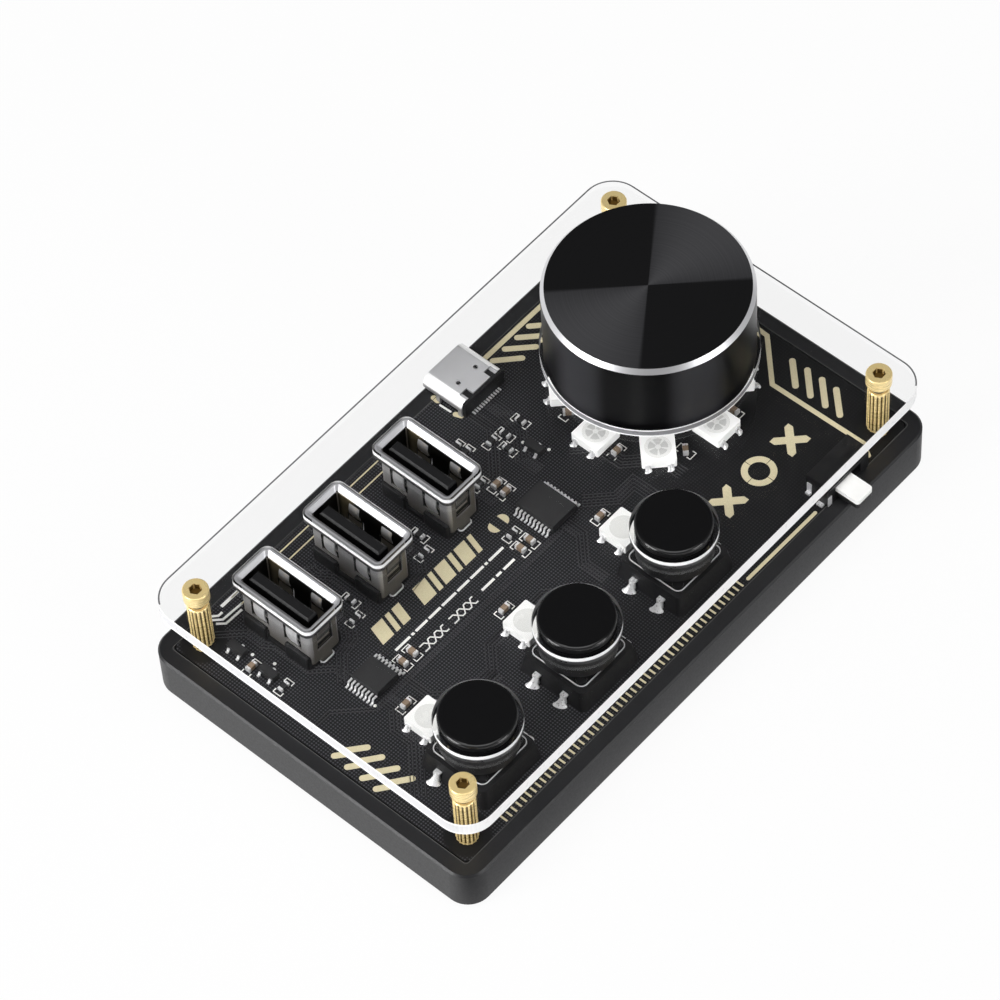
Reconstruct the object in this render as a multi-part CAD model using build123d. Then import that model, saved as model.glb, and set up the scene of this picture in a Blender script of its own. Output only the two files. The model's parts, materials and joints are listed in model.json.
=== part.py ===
from build123d import *
import os
from math import cos, radians, sin, sqrt

# A three-key macro keypad with one big rotary knob, three upright USB-A sockets, a USB-C inlet
# and a slide switch on one circuit board. The board lies flush in a shallow tray, and a clear
# cover plate stands over it on four fluted pillars.
# Millimetres. Origin: centre of the tray's underside. +X runs along the long side to the knob,
# +Y to the sockets, +Z up. The keys stand along the -Y side.

# ---------------------------------------------------------------- driving dimensions
# layout of the controls; the tray's length and width follow from it
KEY_COUNT = 3
KEY_PITCH = 20.5
END_TO_KEY = 15.8          # tray's -X end to the first key
FRONT_TO_KEY = 11.6        # tray's -Y side to the row of keys
KEY_TO_KNOB_X = 22.3       # from the last key
KEY_TO_KNOB_Y = 23.3
KNOB_TO_END = 5.7          # knob's edge to the tray's +X end
USB_A_COUNT = 3
USB_A_PITCH = 14.4
END_TO_SOCKET = 14.8       # tray's -X end to the first upright socket
KEY_TO_SOCKET = 34.1       # from row to row, along Y
SOCKET_TO_BACK = 14.1
SOCKET_TO_INLET = 18.3     # last upright socket to the USB-C inlet
SLIDE_TO_END = 16.4        # slide switch to the tray's +X end
# general fits
FIT = 0.02                 # between pieces that are pushed together
EDGE_BEVEL = 0.3
# tray
TRAY_HEIGHT = 7.5
TRAY_CORNER = 3.6
TRAY_FLOOR = 1.8
RIM_WIDTH = 2.45           # from the outside to the board's pocket
LEDGE_WIDTH = 0.9          # the shelf inside the rim that carries the board's edge
POST_RADIUS = 3.0
# feet
FOOT_RADIUS = 4.0
FOOT_THICKNESS = 1.5
FOOT_SINK = 0.7            # how deep a foot sits in its pocket
FOOT_CLEAR = 0.1
FOOT_INSET_X = 16.0        # foot centre from the tray's end
FOOT_INSET_Y = 7.5
# board
BOARD_THICKNESS = 1.6
BOARD_CORNER = 1.0
BOARD_GAP = 0.15
PIN_CLEAR = 0.12           # round every lead that goes through the board
PIN_DROP = 1.0             # how far a lead stands out under the board
# pillars, their screws and the cover plate
PILLAR_INSET_X = 5.9       # pillar from the tray's end
PILLAR_INSET_Y = 5.4
PILLAR_HEIGHT = 9.0
PILLAR_RADIUS = 1.62
FLUTE_COUNT = 16
FLUTE_DEPTH = 0.2
THREAD_RADIUS = 1.0        # M2
SCREW_HOLE_CLEAR = 0.1
CAP_HEAD_RADIUS = 1.9
CAP_HEAD_HEIGHT = 2.0
CAP_HEAD_ROUND = 0.25
HEX_ACROSS = 1.7
HEX_DEPTH = 1.1
COVER_SCREW_BITE = 4.0     # thread length inside the pillar
PAN_HEAD_RADIUS = 1.8
PAN_HEAD_HEIGHT = 1.2
PAN_SLOT_WIDTH = 0.4
PAN_SLOT_DEPTH = 0.6
PAN_HEAD_CLEAR = 0.3
PAN_HEAD_SINK = 0.2        # head below the tray's underside
BASE_SCREW_BITE = 4.0
COVER_THICKNESS = 2.4
COVER_CORNER = 4.7
COVER_INSET_X = 0.9        # plate's end from the tray's end
COVER_INSET_Y = 0.1
# keys
KEY_BASE_SIZE = 12.0
KEY_TAPER = 0.55           # how far each side leans in
KEY_BODY_HEIGHT = 3.4
KEY_CORNER = 0.8
KEY_FLOOR = 0.8
KEY_PLATE_INSET = 0.6
KEY_PLATE_CORNER = 1.0
KEY_PLATE_THICKNESS = 0.3
KEY_PEG_RADIUS = 0.75
KEY_PEG_INSET = 1.15       # peg centre from the metal plate's edges
KEY_PEG_PROUD = 0.2
KEY_PEG_CLEAR = 0.05
STEM_FLANGE_RADIUS = 4.0
STEM_FLANGE_HEIGHT = 0.7
STEM_NECK_RADIUS = 3.4
STEM_NECK_HEIGHT = 0.95
STEM_SQUARE = 3.8
STEM_SQUARE_HEIGHT = 3.0
STEM_BOSS_RADIUS = 1.4
STEM_CLEAR = 0.1
STEM_UNDER_PLATE = 0.05
DOME_RADIUS = 3.4
DOME_RISE = 0.75
DOME_THICKNESS = 0.1
DOME_GAP = 0.05
KEY_CAP_RADIUS = 5.55
KEY_CAP_PROUD = 1.3        # above the cover plate
KEY_CAP_LIFT = 1.2         # cap's underside above the key's metal plate
KEY_CAP_ROUND = 0.45
KEY_CAP_WALL = 0.8
KEY_CAP_SKIRT = 1.9        # depth of the hollow under the cap
KEY_CAP_BOSS_WALL = 0.4    # round the corners of the stem's square
KEY_GROOVE_DROP = 1.2      # groove below the cap's top
KEY_GROOVE_WIDTH = 0.3
KEY_GROOVE_DEPTH = 0.2
KEY_HOLE_CLEAR = 0.7       # between a cap and the cover plate's hole
KEY_LEAD_OUT = 0.1         # between the lead and the housing
KEY_LEAD_OFFSET = 2.5
KEY_LEAD_WIDTH = 1.0
KEY_LEAD_TIP = 0.7
KEY_LEAD_THICKNESS = 0.3
KEY_LEAD_HEIGHT = 1.7
KEY_NOTCH_DEPTH = 0.75
KEY_NOTCH_CLEAR = 0.1
# encoder and knob
KNOB_RADIUS = 15.2
KNOB_HEIGHT = 14.5
KNOB_LIFT = 0.8            # knob's underside above the cover plate's underside
KNOB_CHAMFER_IN = 0.55
KNOB_CHAMFER_DOWN = 0.75
KNOB_RECESS_RADIUS = 10.0
KNOB_RECESS_DEPTH = 5.0
KNOB_TOP_WALL = 2.5
KNOB_HOLE_CLEAR = 0.55     # between the knob and the cover plate's hole
SHAFT_RADIUS = 3.0
SHAFT_FLAT = 1.5           # distance of the D flat from the shaft's axis
SHAFT_END_GAP = 0.3        # between the shaft's end and the bottom of the knob's bore
SHAFT_FLAT_LENGTH = 9.0
SHAFT_CLEAR = 0.06
GRUB_RADIUS = 1.5
GRUB_LENGTH = 5.0
GRUB_LIFT = 2.5            # grub screw's axis above the knob's recess
GRUB_ANGLE = 45.0
GRUB_HEX_ACROSS = 1.5
GRUB_HEX_DEPTH = 1.5
ENCODER_SIZE = 12.0
ENCODER_BODY_HEIGHT = 5.6
ENCODER_PLATE_THICKNESS = 0.8
ENCODER_CORNER = 0.6
BUSHING_RADIUS = 3.5
BUSHING_HEIGHT = 5.0
ENCODER_LEG_WIDTH = 2.0
ENCODER_PIN_WIDTH = 0.8
ENCODER_PIN_THICKNESS = 0.3
ENCODER_PIN_PITCH = 2.5
ENCODER_PIN_OUT = 0.85     # pin row from the housing's side
ENCODER_PIN_RISE = 1.0     # where a pin leaves the housing, above the board
PUSH_TRAVEL = 0.5
PUSHER_RADIUS = 2.6
PUSHER_HEIGHT = 1.6
PUSHER_CLEAR = 0.08
PUSH_DOME_RADIUS = 2.4
PUSH_DOME_RISE = 0.7
PUSH_DOME_FLOOR = 0.95     # dome's rim above the board
# USB-A sockets
USB_A_MOUTH_X = 5.12
USB_A_MOUTH_Y = 12.5
USB_A_SHEET = 0.3
USB_A_MOUTH_ROUND = 0.4
USB_A_FLARE_HEIGHT = 0.9
USB_A_FLARE_X = 0.74       # how far the lips lean out
USB_A_FLARE_Y = 0.6
USB_A_FLARE_ROUND = 0.3    # what the flare adds to the corner radius
USB_A_WALL_FOOT = 2.2      # lower edge of the long walls, above the board
USB_A_END_FOOT = 0.9       # lower edge of the end walls and middle tabs
USB_A_TAB_WIDTH = 3.2
USB_A_BLOCK_PROUD = 0.35   # insulator's feet outside the long walls
USB_A_BLOCK_BEVEL = 0.5
USB_A_BLOCK_GAP = 0.05
USB_A_PLUG_DEPTH = 1.0     # insulator that fills the shell's lower end
USB_A_TONGUE_THICKNESS = 1.84
USB_A_TONGUE_SIDE = 0.7    # gap beside the tongue
USB_A_TONGUE_GAP = 0.78    # from the shell's -X wall to the tongue
USB_A_TONGUE_SET_BACK = 0.5
USB_A_CONTACTS = (-3.5, -1.0, 1.0, 3.5)
USB_A_CONTACT_WIDTH = 1.0
USB_A_CONTACT_THICKNESS = 0.2
USB_A_CONTACT_BULGE = 0.45
USB_A_CONTACT_TIP = 1.0    # from the tongue's end
USB_A_CONTACT_KNEE = 1.4   # from the contact's tip
USB_A_CONTACT_ROOT = 3.2
USB_A_PIN_WIDTH = 0.6
USB_A_LEG_WIDTH = 2.1
USB_A_CUTOUT_CLEAR = 0.3
FINGER_WIDTH = 2.4
FINGER_LENGTH = 3.7
FINGER_SLOT = 0.35
FINGER_OFFSET = 3.05       # finger centre from the socket's middle, on the long sides
FINGER_DROP = 4.1          # finger's root below the socket's mouth
FINGER_BEND = 0.4
FINGER_CURL = 0.9          # length of the turned-out tip
# USB-C inlet
USB_C_OVERHANG = 2.2       # past the board's edge
USB_C_LENGTH = 7.4
USB_C_WIDTH = 8.94
USB_C_HEIGHT = 3.26
USB_C_SHEET = 0.3
USB_C_TONGUE_WIDTH = 6.69
USB_C_TONGUE_THICKNESS = 0.7
USB_C_TONGUE_SET_BACK = 0.6
USB_C_BLOCK_DEPTH = 1.6    # insulator inside the shell's rear end
USB_C_TAIL = 0.5           # insulator behind the shell
USB_C_CONTACT_PITCH = 0.5
USB_C_CONTACT_COUNT = 12
USB_C_CONTACT_WIDTH = 0.24
USB_C_CONTACT_THICKNESS = 0.08
USB_C_CONTACT_SET_BACK = 0.3
USB_C_PIN_LENGTH = 0.6
USB_C_PIN_THICKNESS = 0.15
USB_C_LEG_INSET = 0.65     # front legs inside the board's edge
USB_C_LEG_SPACING = 4.18
USB_C_LEG_WIDTH = 0.7
USB_C_NOTCH_OFFSET = 2.6
USB_C_NOTCH_WIDTH = 1.5
USB_C_NOTCH_DEPTH = 1.3
USB_C_DIMPLE_OFFSET = 1.85
USB_C_DIMPLE_FROM_REAR = 2.8
USB_C_DIMPLE_RADIUS = 0.35
# slide switch
SLIDE_OVERHANG = 0.3       # past the board's edge
SLIDE_HEIGHT = 3.5
SLIDE_FRAME = 0.3
SLIDE_WALL = 0.7
SLIDE_BACK = 1.6           # contact block behind the slider
SLIDE_WINDOW_FLOOR = 0.9   # above the board
SLIDE_WINDOW_LIP = 0.4     # under the metal frame
LEVER_WIDTH = 3.4
LEVER_PROUD = 4.0
LEVER_ROUND = 0.5
LEVER_CLEAR = 0.1
LEVER_TRAVEL = 2.0
SLIDER_OVERLAP = 0.8       # slider past the lever on each side
SLIDER_DEPTH = 1.4
SLIDER_LIP = 0.2           # slider above and below the window
SLIDE_PIN_PITCH = 2.5
SLIDE_PIN_WIDTH = 0.6
SLIDE_PIN_THICKNESS = 0.3
SLIDE_TAB_WIDTH = 1.2
# lamps
LED_SIZE = 5.0
LED_HEIGHT = 1.6
LED_CORNER = 0.25
LED_LENS_RADIUS = 2.0
LED_LENS_DEPTH = 0.6
LED_LEAD_WIDTH = 0.9
LED_LEAD_OFFSET = 1.6
LED_LEAD_OUT = 0.5
LED_LEAD_THICKNESS = 0.2
LED_LEAD_RISE = 0.8
RING_COUNT = 8
RING_CLEAR = 0.7           # between the encoder's corners and the ring lamps
RING_CAP_SIDE = 3.9        # each ring lamp's capacitor beside it
KEY_TO_LAMP = 9.45
LAMP_TO_CAP = 4.35
# chips
CHIP_HEIGHT = 1.5
CHIP_STANDOFF = 0.1
CHIP_PITCH = 0.65
CHIP_DRAFT = 0.12
CHIP_LEAD_WIDTH = 0.28
CHIP_LEAD_THICKNESS = 0.18
CHIP_LEAD_FOOT = 0.5
MAIN_CHIP_SIZE = (5.3, 6.9)
MAIN_CHIP_SPAN = 7.4
MAIN_CHIP_LEADS = 10       # on each side
MAIN_CHIP_FROM_KEY = (-3.85, 20.4)
HUB_CHIP_SIZE = (4.4, 5.0)
HUB_CHIP_SPAN = 7.1
HUB_CHIP_LEADS = 8
HUB_CHIP_FROM_KEY = (0.35, 19.8)
REGULATOR_SIZE = (1.3, 2.9)
REGULATOR_HEIGHT = 1.1
REGULATOR_SPAN = 2.5
REGULATOR_PITCH = 0.95
REGULATOR_LEAD_WIDTH = 0.4
REGULATOR_LEAD_FOOT = 0.35
REGULATORS_FROM_SOCKET = ((-7.3, 3.7), (-7.4, -2.3))
REGULATOR_FROM_INLET = (-2.1, -11.7)
# small two-ended parts: where they stand from the chip, key, socket or inlet that they serve
SMALL_LENGTH = 1.6
SMALL_WIDTH = 0.8
SMALL_END = 0.35
CAPACITOR_HEIGHT = 0.8
RESISTOR_HEIGHT = 0.5
MAIN_CAPS_ALONG_X = ((-1.3, 8.3), (-1.4, 6.5))
MAIN_CAPS_ALONG_Y = ((-5.55, -1.65), (-7.45, -1.6))
MAIN_RESISTORS_ALONG_X = ((-6.35, 1.0), (-2.7, 10.2))
HUB_CAPS_ALONG_Y = ((6.65, -0.9), (4.55, -1.0))
SOCKET_CAPS_ALONG_X = ((-8.1, 0.3),)
SOCKET_RESISTORS_ALONG_X = ((-7.6, -5.3),)
BETWEEN_RESISTORS_ALONG_X = ((7.05, -5.3),)
BETWEEN_RESISTORS_ALONG_Y = ((9.0, -2.7),)
INLET_RESISTORS_ALONG_X = ((-5.0, -6.1), (-9.0, -2.8), (-8.8, -4.5))
INLET_RESISTORS_ALONG_Y = ((0.4, -6.9), (-2.8, -6.8), (-4.5, -8.8))

# ---------------------------------------------------------------- derived places
TRAY_LENGTH = END_TO_KEY + KEY_PITCH * (KEY_COUNT - 1) + KEY_TO_KNOB_X + KNOB_RADIUS + KNOB_TO_END
TRAY_WIDTH = FRONT_TO_KEY + KEY_TO_SOCKET + SOCKET_TO_BACK
BOARD_TOP = TRAY_HEIGHT
BOARD_UNDER = BOARD_TOP - BOARD_THICKNESS
BOARD_LENGTH = TRAY_LENGTH - 2 * (RIM_WIDTH + BOARD_GAP)
BOARD_WIDTH = TRAY_WIDTH - 2 * (RIM_WIDTH + BOARD_GAP)
PIN_TIP = BOARD_UNDER - PIN_DROP
COVER_UNDER = BOARD_TOP + PILLAR_HEIGHT
COVER_TOP = COVER_UNDER + COVER_THICKNESS
PILLARS = [(sx * (TRAY_LENGTH / 2 - PILLAR_INSET_X), sy * (TRAY_WIDTH / 2 - PILLAR_INSET_Y))
           for sx in (-1, 1) for sy in (-1, 1)]
FEET = [(sx * (TRAY_LENGTH / 2 - FOOT_INSET_X), sy * (TRAY_WIDTH / 2 - FOOT_INSET_Y))
        for sx in (-1, 1) for sy in (-1, 1)]
KEY_XS = [END_TO_KEY - TRAY_LENGTH / 2 + KEY_PITCH * n for n in range(KEY_COUNT)]
KEY_Y = FRONT_TO_KEY - TRAY_WIDTH / 2
KEY_LEAD_ROW = KEY_BASE_SIZE / 2 + KEY_LEAD_OUT + KEY_LEAD_THICKNESS / 2
KNOB_X = KEY_XS[-1] + KEY_TO_KNOB_X
KNOB_Y = KEY_Y + KEY_TO_KNOB_Y
KNOB_UNDER = COVER_UNDER + KNOB_LIFT
KNOB_TOP = KNOB_UNDER + KNOB_HEIGHT
KNOB_RECESS_TOP = KNOB_UNDER + KNOB_RECESS_DEPTH
KNOB_BORE_TOP = KNOB_TOP - KNOB_TOP_WALL
SHAFT_TOP = KNOB_BORE_TOP - SHAFT_END_GAP
PUSHER_REST = BOARD_TOP + PUSH_DOME_FLOOR + PUSH_DOME_RISE + DOME_GAP
SHAFT_FOOT = PUSHER_REST + PUSHER_HEIGHT
ENCODER_PIN_ROW = ENCODER_SIZE / 2 + ENCODER_PIN_OUT + ENCODER_PIN_THICKNESS / 2
RING_RADIUS = ENCODER_SIZE / sqrt(2) + RING_CLEAR + LED_SIZE / 2 + LED_LEAD_OUT
USB_A_XS = [END_TO_SOCKET - TRAY_LENGTH / 2 + USB_A_PITCH * n for n in range(USB_A_COUNT)]
USB_A_Y = KEY_Y + KEY_TO_SOCKET
USB_A_TOP = COVER_TOP - BOARD_TOP      # above the board; the lips end flush with the cover plate
USB_A_OUTER_X = USB_A_MOUTH_X + 2 * USB_A_SHEET
USB_A_OUTER_Y = USB_A_MOUTH_Y + 2 * USB_A_SHEET
USB_A_LIP_X = USB_A_OUTER_X + 2 * USB_A_FLARE_X
USB_A_LIP_Y = USB_A_OUTER_Y + 2 * USB_A_FLARE_Y
USB_A_FACE = USB_A_TONGUE_GAP + USB_A_TONGUE_THICKNESS - USB_A_MOUTH_X / 2   # contact side of the tongue
USB_C_X = USB_A_XS[-1] + SOCKET_TO_INLET
USB_C_MOUTH_Y = BOARD_WIDTH / 2 + USB_C_OVERHANG
USB_C_REAR_Y = USB_C_MOUTH_Y - USB_C_LENGTH
USB_C_LEG_YS = [BOARD_WIDTH / 2 - USB_C_LEG_INSET - USB_C_LEG_SPACING * n for n in (0, 1)]
SLIDER_LENGTH = LEVER_WIDTH + 2 * SLIDER_OVERLAP
SLIDE_LENGTH = SLIDER_LENGTH + LEVER_TRAVEL + 2 * LEVER_CLEAR + 2 * SLIDE_WALL
SLIDE_DEPTH = SLIDE_WALL + SLIDER_DEPTH + 2 * LEVER_CLEAR + SLIDE_BACK
SLIDE_X = TRAY_LENGTH / 2 - SLIDE_TO_END
SLIDE_FRONT_Y = -BOARD_WIDTH / 2 - SLIDE_OVERHANG
SLIDE_REAR_Y = SLIDE_FRONT_Y + SLIDE_DEPTH
SLIDE_MIDDLE_Y = (SLIDE_FRONT_Y + SLIDE_REAR_Y) / 2
LEVER_X = SLIDE_X - LEVER_TRAVEL / 2
MAIN_CHIP = (KEY_XS[-1] + MAIN_CHIP_FROM_KEY[0], KEY_Y + MAIN_CHIP_FROM_KEY[1])
HUB_CHIP = (KEY_XS[0] + HUB_CHIP_FROM_KEY[0], KEY_Y + HUB_CHIP_FROM_KEY[1])


# ---------------------------------------------------------------- shape helpers
def block(x0, x1, y0, y1, z0, z1):
    """Box between two corners, given in any order."""
    middle = Pos((x0 + x1) / 2, (y0 + y1) / 2, (z0 + z1) / 2)
    return middle * Box(abs(x1 - x0), abs(y1 - y0), abs(z1 - z0))


def slab(x, y, size_x, size_y, z0, z1):
    """Box centred on x, y between two heights."""
    return block(x - size_x / 2, x + size_x / 2, y - size_y / 2, y + size_y / 2, z0, z1)


def drum(x, y, radius, z0, z1):
    """Upright cylinder between two heights."""
    return Pos(x, y, (z0 + z1) / 2) * Cylinder(radius, z1 - z0)


def rounded(x, y, size_x, size_y, radius, z0, z1):
    """Upright block with rounded corners."""
    return extrude(Pos(x, y, z0) * RectangleRounded(size_x, size_y, radius), amount=z1 - z0)


def hexagon(across, x, y, z0, z1):
    """Upright hexagonal prism, given its size across the flats."""
    corner = across / 2 / cos(radians(30))
    return extrude(Pos(x, y, z0) * RegularPolygon(corner, 6), amount=z1 - z0)


def revolved(points, x, y):
    """Solid of revolution about a vertical axis through x, y from (radius, height) points."""
    profile = make_face(Plane.XZ * Polyline(*points, close=True))
    return Pos(x, y, 0) * revolve(profile, axis=Axis.Z)


def sheet_strip(points, width):
    """Strip whose XZ outline is given, centred on Y."""
    return extrude(make_face(Plane.XZ * Polyline(*points, close=True)), amount=width / 2, both=True)


def dome(x, y, radius, rise, z):
    """Shallow snap dome that stands on its rim at height z."""
    def cap(rim, height):
        arc = ThreePointArc((-rim, 0), (0, height), (rim, 0))
        return make_face([arc, Line((rim, 0), (-rim, 0))])
    shell = cap(radius, rise) - cap(radius - DOME_THICKNESS, rise - DOME_THICKNESS)
    half = shell & Pos(radius / 2, rise / 2) * Rectangle(radius, rise)
    return Pos(x, y, z) * revolve(Plane.XZ * half, axis=Axis.Z)


def group(solids):
    """Separate solids that share one node."""
    return Compound(children=[solid for shape in solids for solid in shape.solids()])


# ---------------------------------------------------------------- tray, feet and board
def make_tray():
    body = rounded(0, 0, TRAY_LENGTH, TRAY_WIDTH, TRAY_CORNER, 0, TRAY_HEIGHT)
    outer = body.faces().sort_by(Axis.Z)
    body = chamfer(outer[0].edges() + outer[-1].edges(), EDGE_BEVEL)
    pocket_x = BOARD_LENGTH + 2 * BOARD_GAP
    pocket_y = BOARD_WIDTH + 2 * BOARD_GAP
    body -= rounded(0, 0, pocket_x, pocket_y, BOARD_CORNER, BOARD_UNDER, TRAY_HEIGHT)
    body -= rounded(0, 0, pocket_x - 2 * LEDGE_WIDTH, pocket_y - 2 * LEDGE_WIDTH, BOARD_CORNER,
                    TRAY_FLOOR, BOARD_UNDER)
    for x, y in PILLARS:
        body += drum(x, y, POST_RADIUS, TRAY_FLOOR, BOARD_UNDER)
    for x, y in PILLARS:
        body -= drum(x, y, THREAD_RADIUS + SCREW_HOLE_CLEAR, 0, BOARD_UNDER)
        body -= drum(x, y, PAN_HEAD_RADIUS + PAN_HEAD_CLEAR, 0, PAN_HEAD_SINK + PAN_HEAD_HEIGHT)
    for x, y in FEET:
        body -= drum(x, y, FOOT_RADIUS + FOOT_CLEAR, 0, FOOT_SINK)
    return body


def make_foot(x, y):
    foot = drum(x, y, FOOT_RADIUS, FOOT_SINK - FOOT_THICKNESS, FOOT_SINK)
    return chamfer(foot.faces().sort_by(Axis.Z)[0].edges(), EDGE_BEVEL)


def make_board():
    """Board with a slot or hole round everything that passes through it."""
    board = rounded(0, 0, BOARD_LENGTH, BOARD_WIDTH, BOARD_CORNER, BOARD_UNDER, BOARD_TOP)
    for x, y in PILLARS:
        board -= drum(x, y, THREAD_RADIUS + SCREW_HOLE_CLEAR, BOARD_UNDER, BOARD_TOP)
    for x, y, size_x, size_y in through_parts():
        board -= slab(x, y, size_x + 2 * PIN_CLEAR, size_y + 2 * PIN_CLEAR, BOARD_UNDER, BOARD_TOP)
    return board


# ---------------------------------------------------------------- pillars, screws, cover
def make_pillar(x, y):
    """Fluted pillar with a plain turned end at its top and foot, threaded right through."""
    step = 180 / FLUTE_COUNT
    rim = [(PILLAR_RADIUS - FLUTE_DEPTH * (n % 2), radians(step * n)) for n in range(2 * FLUTE_COUNT)]
    star = make_face(Polyline(*[(radius * cos(turn), radius * sin(turn)) for radius, turn in rim],
                              close=True))
    body = extrude(Pos(x, y, BOARD_TOP) * star, amount=PILLAR_HEIGHT)
    root = PILLAR_RADIUS - FLUTE_DEPTH
    body &= revolved([(0, BOARD_TOP), (root, BOARD_TOP), (PILLAR_RADIUS, BOARD_TOP + FLUTE_DEPTH),
                      (PILLAR_RADIUS, COVER_UNDER - FLUTE_DEPTH), (root, COVER_UNDER),
                      (0, COVER_UNDER)], x, y)
    return body - drum(x, y, THREAD_RADIUS + FIT, BOARD_TOP, COVER_UNDER)


def make_cover_screw(x, y):
    head_top = COVER_TOP + CAP_HEAD_HEIGHT
    head = drum(x, y, CAP_HEAD_RADIUS, COVER_TOP, head_top)
    head = fillet(head.faces().sort_by(Axis.Z)[-1].edges(), CAP_HEAD_ROUND)
    head -= hexagon(HEX_ACROSS, x, y, head_top - HEX_DEPTH, head_top)
    return head + drum(x, y, THREAD_RADIUS, COVER_UNDER - COVER_SCREW_BITE, COVER_TOP)


def make_base_screw(x, y):
    top = PAN_HEAD_SINK + PAN_HEAD_HEIGHT
    head = drum(x, y, PAN_HEAD_RADIUS, PAN_HEAD_SINK, top)
    head = chamfer(head.faces().sort_by(Axis.Z)[0].edges(), CAP_HEAD_ROUND)
    cross_top = PAN_HEAD_SINK + PAN_SLOT_DEPTH
    head -= slab(x, y, PAN_HEAD_RADIUS, PAN_SLOT_WIDTH, PAN_HEAD_SINK, cross_top)
    head -= slab(x, y, PAN_SLOT_WIDTH, PAN_HEAD_RADIUS, PAN_HEAD_SINK, cross_top)
    return head + drum(x, y, THREAD_RADIUS, top, BOARD_TOP + BASE_SCREW_BITE)


def make_cover():
    plate = rounded(0, 0, TRAY_LENGTH - 2 * COVER_INSET_X, TRAY_WIDTH - 2 * COVER_INSET_Y, COVER_CORNER,
                    COVER_UNDER, COVER_TOP)
    for x, y in PILLARS:
        plate -= drum(x, y, THREAD_RADIUS + SCREW_HOLE_CLEAR, COVER_UNDER, COVER_TOP)
    for x in KEY_XS:
        plate -= drum(x, KEY_Y, KEY_CAP_RADIUS + KEY_HOLE_CLEAR, COVER_UNDER, COVER_TOP)
    plate -= drum(KNOB_X, KNOB_Y, KNOB_RADIUS + KNOB_HOLE_CLEAR, COVER_UNDER, COVER_TOP)
    lip_round = USB_A_MOUTH_ROUND + USB_A_SHEET + USB_A_FLARE_ROUND
    for x in USB_A_XS:
        plate -= rounded(x, USB_A_Y, USB_A_LIP_X + 2 * USB_A_CUTOUT_CLEAR,
                         USB_A_LIP_Y + 2 * USB_A_CUTOUT_CLEAR, lip_round + USB_A_CUTOUT_CLEAR,
                         COVER_UNDER, COVER_TOP)
    return plate


# ---------------------------------------------------------------- keys
def make_key(x):
    """Parts of one push key: housing, metal plate, leads, stem, snap dome and cap."""
    y = KEY_Y
    plate_under = BOARD_TOP + KEY_BODY_HEIGHT
    plate_top = plate_under + KEY_PLATE_THICKNESS
    floor = BOARD_TOP + KEY_FLOOR
    top_size = KEY_BASE_SIZE - 2 * KEY_TAPER
    plate_size = top_size - 2 * KEY_PLATE_INSET
    peg = plate_size / 2 - KEY_PEG_INSET
    pegs = [(x + sx * peg, y + sy * peg) for sx in (-1, 1) for sy in (-1, 1)]
    base = Pos(x, y, BOARD_TOP) * RectangleRounded(KEY_BASE_SIZE, KEY_BASE_SIZE, KEY_CORNER)
    top = Pos(x, y, plate_under) * RectangleRounded(top_size, top_size, KEY_CORNER)
    housing = loft([base, top])
    housing -= drum(x, y, STEM_FLANGE_RADIUS + STEM_CLEAR, floor, plate_under)
    notch_foot = KEY_BASE_SIZE / 2 - KEY_NOTCH_DEPTH
    notch_half = KEY_LEAD_WIDTH / 2 + KEY_NOTCH_CLEAR
    lead_spots = [(side, y + offset) for side in (-1, 1) for offset in (-KEY_LEAD_OFFSET, KEY_LEAD_OFFSET)]
    for side, lead_y in lead_spots:
        housing -= block(x + side * notch_foot, x + side * KEY_BASE_SIZE, lead_y - notch_half,
                         lead_y + notch_half, BOARD_TOP, BOARD_TOP + KEY_LEAD_HEIGHT + KEY_NOTCH_CLEAR)
    for px, py in pegs:
        housing += drum(px, py, KEY_PEG_RADIUS, plate_under, plate_top + KEY_PEG_PROUD)

    plate = rounded(x, y, plate_size, plate_size, KEY_PLATE_CORNER, plate_under, plate_top)
    plate -= drum(x, y, STEM_NECK_RADIUS + STEM_CLEAR, plate_under, plate_top)
    for px, py in pegs:
        plate -= drum(px, py, KEY_PEG_RADIUS + KEY_PEG_CLEAR, plate_under, plate_top)

    leads = [make_key_lead(x, side, lead_y, notch_foot) for side, lead_y in lead_spots]

    flange_top = plate_under - STEM_UNDER_PLATE
    flange_under = flange_top - STEM_FLANGE_HEIGHT
    neck_top = flange_top + STEM_NECK_HEIGHT
    stem_top = neck_top + STEM_SQUARE_HEIGHT
    stem = drum(x, y, STEM_FLANGE_RADIUS, flange_under, flange_top)
    stem += drum(x, y, STEM_NECK_RADIUS, flange_top, neck_top)
    stem += slab(x, y, STEM_SQUARE, STEM_SQUARE, neck_top, stem_top)
    stem += drum(x, y, STEM_BOSS_RADIUS, floor + DOME_RISE + DOME_GAP, flange_under)
    return {"housing": housing, "plate": plate, "leads": group(leads), "stem": stem,
            "dome": dome(x, y, DOME_RADIUS, DOME_RISE, floor),
            "cap": make_key_cap(x, y, plate_top + KEY_CAP_LIFT, stem_top)}


def make_key_lead(x, side, lead_y, inner):
    """Lead that leaves the housing's notch and turns down through the board."""
    high = BOARD_TOP + KEY_LEAD_HEIGHT
    outer = KEY_LEAD_ROW + KEY_LEAD_THICKNESS / 2
    x_inner, x_outer = x + side * inner, x + side * outer
    x_bend = x_outer - side * KEY_LEAD_THICKNESS
    half, tip = KEY_LEAD_WIDTH / 2, KEY_LEAD_TIP / 2
    lead = block(x_inner, x_outer, lead_y - half, lead_y + half, high - KEY_LEAD_THICKNESS, high)
    lead += block(x_bend, x_outer, lead_y - half, lead_y + half, BOARD_TOP, high)
    return lead + block(x_bend, x_outer, lead_y - tip, lead_y + tip, PIN_TIP, BOARD_TOP)


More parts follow.
